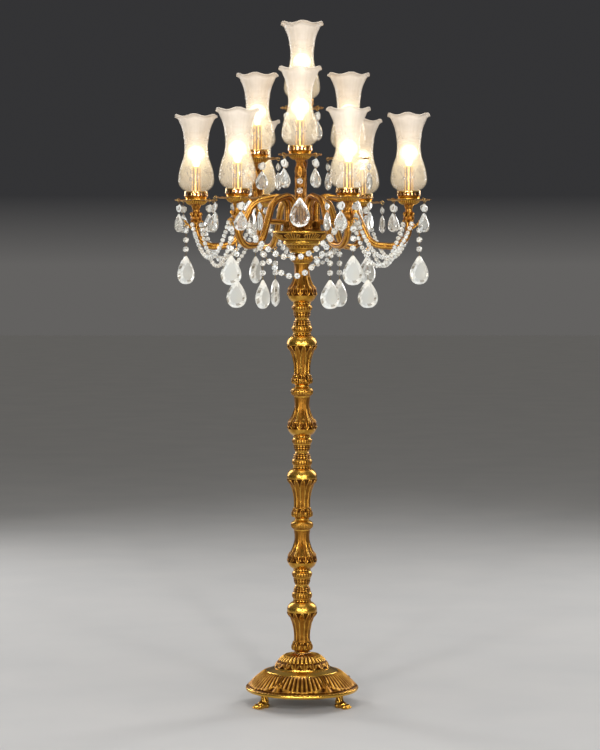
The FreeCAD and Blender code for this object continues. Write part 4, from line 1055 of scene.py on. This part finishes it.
def shadeParts():
    stand = shade["stand"]
    outer = traceOutline([(shade["neck"], 0), (shade["neck"], stand)]
                         + scaleShares(glassOuter, shade["radius"], shade["height"], stand), shade["rows"])
    along = unit(np.gradient(outer, axis=0))
    inner = (outer + shade["wall"] * np.stack([-along[:, 1], along[:, 0]], 1))[::-1]
    item = turnedForm(np.concatenate([outer, inner, outer[:1]]), shade["segments"])
    points = item["points"]
    theta = np.arctan2(points[:, 1], points[:, 0])
    height = points[:, 2].copy()
    rise = (height - stand) / shade["height"]
    flare = easeShare(0.62, 0.97, rise)
    valley = ((1 + np.cos(shade["lobes"] * theta)) / 2) ** 0.8
    streaks = sum(np.cos(count * theta + 2.1 * count) for count in (12, 17, 23, 31)) / 4
    streaks = streaks * easeShare(0.5, 0.75, rise)
    points[:, :2] *= (1 + flare * (shade["spread"] - 0.05 * valley) + 0.004 * streaks)[:, None]
    points[:, 2] -= shade["dip"] * valley * flare ** 1.5 - 1.5 * flare * (1 - valley)
    points[:, 2] = np.minimum(points[:, 2], stand + shade["height"])
    # frosted more and more towards the rim, with etched sprays on the clearer belly
    frost = shade["thin"] + sum(amount * easeShare(low, high, rise) for amount, low, high in shade["frost"])
    etch = 0.95 * etchedFlowers(theta, height - stand) * (1 - easeShare(0.42, 0.5, rise))
    frost = np.clip(frost + 0.8 * etch + 0.03 * streaks, 0, 1)
    # painted light: a glow at the bulb's height and a haze below it, given to the glass as emission
    # strengths
    above = height - shade["glowHeight"]
    glow = 0.60 * ridge(above, 28) * (1 - 0.9 * etch)
    haze = (0.40 * ridge(above + 34, 50) + 0.15 - 0.07 * flare) * (1 - etch)
    return item, {"frost": frost, "glow": glow, "haze": haze, "etch": etch}


shadeItem, shadeValues = shadeParts()
shadeMesh = formMesh("glassShade", shadeItem, "shadeGlass", sharp=60, values=shadeValues)
for k, (angle, reach, seat) in enumerate(lights):
    node = f"glass_shade_{k + 1}"
    addPiece(f"glassShade_{k + 1}", shadeMesh, node, [node], shade["turns"][k],
             aroundAxis(angle, reach, seat - shade["stand"]))
print("glass shades made")

# crystals

crystal = {"beadRadius": 7.5, "beadLength": 14, "beadPitch": 23.5, "pin": 0.7, "gap": 0.3, "ring": 3.5,
           "beadLoop": (1.3, 0.45), "dropLoop": (1.5, 0.5), "loopLift": 0.2, "pinInset": 0.6, "twist": 20,
           "drop": (50, 71, 20), "trim": (33, 46, 12), "octagon": (20, 20, 9), "sides": 8,
           "beadRows": [(0.30, 0.0), (0.84, 0.17), (1.0, 0.5), (0.84, 0.83), (0.30, 1.0)]}
dropHalf = [(0.0, 1), (0.13, 0.975), (0.27, 0.91), (0.43, 0.83), (0.60, 0.74), (0.76, 0.64),
            (0.90, 0.53), (0.98, 0.42), (1.0, 0.34), (0.96, 0.24), (0.85, 0.15), (0.67, 0.075),
            (0.43, 0.02), (0.15, 0)]
octHalf = [(0.41, 1), (1, 0.71), (1, 0.29), (0.41, 0)]


def closeOutline(half, width, height):
    right = [(width / 2 * x, height * z) for x, z in half]
    left = [(-x, z) for x, z in right[::-1] if x > 1e-6 and (x, z) != right[0]]
    return np.array(right + left)


facetDraws = np.random.default_rng(27)


# Facets between two rings of corners, the second straight above or turned by half a side.
def ringFacets(start, count, turned):
    tris = []
    for k in range(count):
        a, b = start + k, start + (k + 1) % count
        c, d = a + count, b + count
        if turned:
            tris += [(a, b, c), (start + count + (k - 1) % count, a, c)]
        else:
            tris += [(a, b, d), (a, d, c)]
    return tris


# Flat crystal: girdle, rings of kite facets, a smaller table, the same behind.
def cutForm(outline, thickness, centre, rings, dim=0.08, table=0.46, patch=4):
    count = len(outline)
    layers = []
    for scale, depth, half in rings:
        line = outline if not half else (outline + np.roll(outline, -1, 0)) / 2
        flat = centre + (line - centre) * scale
        layers.append(np.stack([flat[:, 0], np.full(count, depth * thickness / 2), flat[:, 1]], 1))
    points = np.concatenate(layers + [[layers[0].mean(0), layers[-1].mean(0)]])
    tris = []
    for index in range(len(rings) - 1):
        turned = rings[index + 1][2] and not rings[index][2]
        tris += ringFacets(index * count, count, turned)
    top = len(rings) * count
    for k in range(count):
        after, last = (k + 1) % count, top - count
        tris += [(top, after, k), (top + 1, last + k, last + after)]
    item = form(points, tris=tris)
    facets = len(tris) - 2 * count
    # painted reflections: more of the facets are painted dark towards the tip, and the table is painted
    # evenly bright
    middles = points[np.array(tris)][:, :, 2].mean(1)
    low = 1 - (middles - middles.min()) / np.ptp(middles)
    flash = np.repeat(facetDraws.random(len(tris) // patch + 1), patch)[:len(tris)]
    shine = np.repeat(facetDraws.random(len(tris) // 2 + 1), 2)[:len(tris)]
    spark = np.where(flash < dim + 0.22 * low, 0.05 + 0.35 * shine, 0.45 + 0.55 * shine)
    spark[facets:] = table
    item["spark"] = spark
    return item


# rings of a cut: size, depth as a share of the half thickness, and turned by half a side or not
dropRings = [(0.62, -1, False), (0.83, -0.68, True), (1.0, -0.10, False),
             (1.0, 0.10, False), (0.83, 0.68, True), (0.62, 1, False)]
octRings = [(0.5, -1, False), (0.8, -0.6, True), (1.0, -0.12, False), (1.0, 0.12, False),
            (0.8, 0.6, True), (0.5, 1, False)]


def stoneForm(half, size, middle, rings, *sparks):
    width, height, thickness = size
    centre = np.array([0, height * middle])
    return cutForm(closeOutline(half, width, height), thickness, centre, rings, *sparks)


def beadForm():
    sides, rows = crystal["sides"], crystal["beadRows"]
    points, tris = [], []
    for index, (share, lift) in enumerate(rows):
        turn = (np.arange(sides) + 0.5 * (index % 2)) * 2 * math.pi / sides
        radius = crystal["beadRadius"] * share
        points.append(np.stack([radius * np.cos(turn), radius * np.sin(turn),
                                np.full(sides, crystal["beadLength"] * lift)], 1))
    for index in range(len(rows) - 1):
        tris += ringFacets(index * sides, sides, index % 2 == 0)
    points = np.concatenate(points + [[[0, 0, 0], [0, 0, crystal["beadLength"]]]])
    top = (len(rows) - 1) * sides
    for k in range(sides):
        after = (k + 1) % sides
        tris += [(len(points) - 2, after, k), (len(points) - 1, top + k, top + after)]
    item = form(points, tris=tris)
    # painted reflections: about a third of the facets are painted dark, the rest bright at random
    dim = facetDraws.random(len(tris)) < 0.3
    item["spark"] = np.where(dim, 0.25, 0.55 + 0.45 * facetDraws.random(len(tris)))
    return item


bead = beadForm()
bigDrop = stoneForm(dropHalf, crystal["drop"], 0.40, dropRings, 0.08)
smallDrop = stoneForm(dropHalf, crystal["trim"], 0.40, dropRings, 0.24)
octagon = stoneForm(octHalf, crystal["octagon"], 0.5, octRings, 0.22, 0.7, 2)


def pendantForms(beads, facing, angle):
    # the same stack as the real hanger: link ring, beads on pins, one big teardrop
    pin, gap, ring, length = [crystal[key] for key in ("pin", "gap", "ring", "beadLength")]
    lift, inset = crystal["loopLift"], crystal["pinInset"]
    centre = eye["wire"] + pin + gap - ring
    wires = [ringForm((0, 0, centre), ring, pin, aroundAxis(angle, 0, 0, 1), 8, 20)]
    stones = []
    top = centre - ring - pin - gap
    for index in range(beads):
        stones.append(turnForm(bead, facing + crystal["twist"] * index, (0, 0, top - length)))
        wireTop = top - length - gap
        wires.append(ringForm((0, 0, top + lift), *crystal["beadLoop"], (1, 0, 0), 6, 12))
        top -= crystal["beadPitch"]
        wires.append(rodForm((0, 0, wireTop + inset), (0, 0, top + gap - inset), pin, 6))
    wires.append(ringForm((0, 0, top + lift), *crystal["dropLoop"], (1, 0, 0), 6, 12))
    stones.append(turnForm(bigDrop, facing, (0, 0, top - crystal["drop"][1])))
    return joinForms(stones), joinForms(wires)


# where each kind hangs, its beads and which way each one has come to rest
pendants = {"outer": (lowAngles, hookOf(lowArm), 3, [0, 20, 30, 60, 34, 0], "cutCrystal"),
            "inner": (lowAngles, (lowArm["innerReach"], lowArm["innerHeight"]), 3, [20, 0, 40, 85, 0, 50],
                      "cutCrystal"),
            "upper": (highAngles, hookOf(highArm), 2, [12, 105, 65], "clearCrystal")}
for label, (angles, (reach, height), beads, facings, finish) in pendants.items():
    for k, (angle, facing) in enumerate(zip(angles, facings)):
        stones, wires = pendantForms(beads, facing, angle)
        name, node = f"{label}Pendant{k + 1}", f"{label}_pendant_{k + 1}"
        spot = aroundAxis(angle, reach, height)
        addPiece(name + "Stones", formMesh(name + "Stones", stones, finish, flat=True), node,
                 [node], place=spot)
        addPiece(name + "Wires", formMesh(name + "Wires", wires, "giltWire"), node, place=spot)

# an octagon and a small teardrop under each quarter of every pan
trimming = {"hookReach": 54, "hookDrop": 22.8, "ring": 4, "wire": 0.6, "octagonDrop": 30.2,
            "dropDrop": 79.8, "pins": [(4.9, 9.9), (30.5, 33.5)]}
octagons, trims, wires = [], [], []
for angle, reach, seat in lights:
    for turn in [angle + quarter for quarter in quarters]:
        hook = aroundAxis(turn, trimming["hookReach"], -trimming["hookDrop"])
        hook = hook + aroundAxis(angle, reach, seat)
        across = aroundAxis(turn, 0, 0, -1)
        wires.append(ringForm(hook, trimming["ring"], trimming["wire"], across, 8, 18))
        for high, low in trimming["pins"]:
            wires.append(rodForm(hook - [0, 0, high], hook - [0, 0, low], trimming["wire"], 6))
        octagons.append(turnForm(octagon, turn + 90, hook - [0, 0, trimming["octagonDrop"]]))
        trims.append(turnForm(smallDrop, turn + 90, hook - [0, 0, trimming["dropDrop"]]))


# two strands from each low arm to the next: their sags, bead size and pitch, heavier at the front
swags = {"side": ((92, 112), 0.74, 13.2), "front": ((92, 137), 1.0, 20), "link": 2.8}


# Beads along a hanging curve between two horn tips.
def addStrand(beads, wires, start, end, sag, size, pitch):
    start, end = [tip - [0, 0, swags["link"]] for tip in (start, end)]
    share = np.linspace(0, 1, 241)
    line = start + (end - start) * share[:, None]
    line[:, 2] -= 4 * (sag - swags["link"]) * share * (1 - share)
    length = lengthAlong(line)
    count = int(length[-1] / pitch)
    half = crystal["beadLength"] * size / 2 + crystal["gap"]
    joints = [start]
    for index in range(count):
        place = int(np.searchsorted(length, (index + 0.5) * length[-1] / count))
        centre = line[place]
        along = unit(line[place] - line[place - 1])
        matrix = np.array(Vector((0, 0, 1)).rotation_difference(Vector(along)).to_matrix())
        item = turnForm(bead, index * 17, (0, 0, -crystal["beadLength"] / 2))
        beads.append(turnForm(item, matrix=matrix * size, move=centre))
        joints += [centre - along * half, centre + along * half]
    joints.append(end)
    for first, second in zip(joints[::2], joints[1::2]):
        wires.append(rodForm(first, second, crystal["pin"], 6))


swagBeads = []
hornHeight = lowArm["seat"] - lowArm["hornDrop"]
for k, angle in enumerate(lowAngles):
    follow = lowAngles[(k + 1) % 6]
    sags, size, pitch = swags["front" if k == 5 else "side"]
    for (shift, wide), sag in zip(horn["tips"], sags):
        reach = lowArm["reach"] + shift
        addStrand(swagBeads, wires, aroundAxis(angle, reach, hornHeight, wide),
                  aroundAxis(follow, reach, hornHeight, -wide), sag, size, pitch)
for name, forms, finish, node in (("swagBeads", swagBeads, "cutCrystal", "swag_beads"),
                                  ("panOctagons", octagons, "cutCrystal", "pan_octagons"),
                                  ("panDrops", trims, "trimCrystal", "pan_drops")):
    addForm(name, joinForms(forms), finish, crystalSlot, node, flat=True)
addForm("crystalWires", joinForms(wires), "giltWire", wireSlot, "crystal_wires")
print("crystals made")

# pieces kept as modelled, with their own finish

keptFinishes = {"base_weight": "castIron", "base_cover": "zincPlate", "foot_studs": "zincPlate",
                "cord_inlet": "bushPlastic", "centre_pipe": "zincPlate", "lock_nuts": "zincPlate",
                "lamp_sockets": "socketBody", "bulbs": "bulbGlow"}
for node, finish in keptFinishes.items():
    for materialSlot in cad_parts[node].material_slots:
        materialSlot.link = "OBJECT"
        materialSlot.material = finishes[finish]
print("kept pieces finished")

# camera, floor and light

view = {"distance": 5.75, "height": 1.098, "lens": 110.4, "shiftY": -0.147, "shiftX": -0.0027}
camera = addObject("camera", bpy.data.cameras.new("camera"))
camera.data.sensor_fit = "AUTO"
camera.data.sensor_width = 36
camera.data.lens = view["lens"]
camera.data.shift_x = view["shiftX"]
camera.data.shift_y = view["shiftY"]
camera.location = (lampAxis.x * mm, -view["distance"], view["height"])
camera.rotation_euler = (math.radians(90), 0, 0)
bpy.context.scene.camera = camera

studio = {"floorSize": 60, "floorPale": (0.62, 0.61, 0.60), "floorGrey": (0.58, 0.575, 0.57),
          "horizon": (0.125, 0.121, 0.117), "backdrop": (0.034, 0.034, 0.036),
          "ceiling": (0.20, 0.195, 0.185), "low": (0.0, 0.03), "high": (0.13, 0.42)}
floorMesh = bpy.data.meshes.new("studioFloor")
side = studio["floorSize"] / 2
floorMesh.from_pydata([(-side, -side, 0), (side, -side, 0), (side, side, 0), (-side, side, 0)], [],
                      [(0, 1, 2, 3)])
floor = addObject("studioFloor", floorMesh)
floorPaint, tree, shader = newFinish("floorPaint")
floorTone = mixColour(tree, speckle(tree, 3, 3, 0.3, 0.7), studio["floorPale"], studio["floorGrey"])
feed(tree, shader, {"Base Color": floorTone, "Roughness": 0.6})
floorMesh.materials.append(floorPaint)

world = bpy.data.worlds.new("studio")
bpy.context.scene.world = world
world.use_nodes = True
tree = world.node_tree
place = addNode(tree, "ShaderNodeTexCoord").outputs["Generated"]
up = addNode(tree, "ShaderNodeSeparateXYZ", {0: place}).outputs["Z"]
nearFloor = mixColour(tree, spread(tree, up, *studio["low"]), studio["horizon"], studio["backdrop"])
backdrop = mixColour(tree, spread(tree, up, *studio["high"]), nearFloor, studio["ceiling"])
feed(tree, tree.nodes["Background"], {"Color": backdrop, "Strength": 1.0})

# place, aim height, width and height, power and spread of each softbox
softboxes = {
    "keyLight": ((-2.0, -3.6, 1.9), 0.9, (0.4, 2.0), 18, 110),
    "fillLight": ((1.9, -3.6, 1.5), 0.8, (0.35, 2.0), 13.5, 110),
    "lowLight": ((0.4, -3.4, 0.35), 1.1, (1.6, 0.4), 4, 80),
    "sparkLight": ((0.9, -4.6, 2.3), 0.8, (0.22, 0.22), 17, 100),
    "glintLight": ((-1.2, -4.4, 1.5), 0.7, (0.16, 0.16), 11, 100),
    "topLight": ((0, -0.6, 3.6), 1.0, (1.6, 1.6), 26, 180),
    "backLeft": ((-2.4, 2.6, 2.0), 1.0, (0.9, 2.4), 55, 180),
    "backRight": ((2.5, 2.3, 2.2), 1.0, (0.9, 2.4), 55, 180),
}
for name, (place, aimHeight, size, power, opening) in softboxes.items():
    data = bpy.data.lights.new(name, "AREA")
    data.shape = "RECTANGLE"
    data.size, data.size_y = size
    data.energy = power
    data.spread = math.radians(opening)
    lamp = addObject(name, data)
    lamp.location = place
    aim = Vector((0, 0, aimHeight)) - Vector(place)
    lamp.rotation_euler = aim.to_track_quat("-Z", "Y").to_euler()

bpy.context.scene.view_settings.view_transform = "Standard"
print("scene ready")
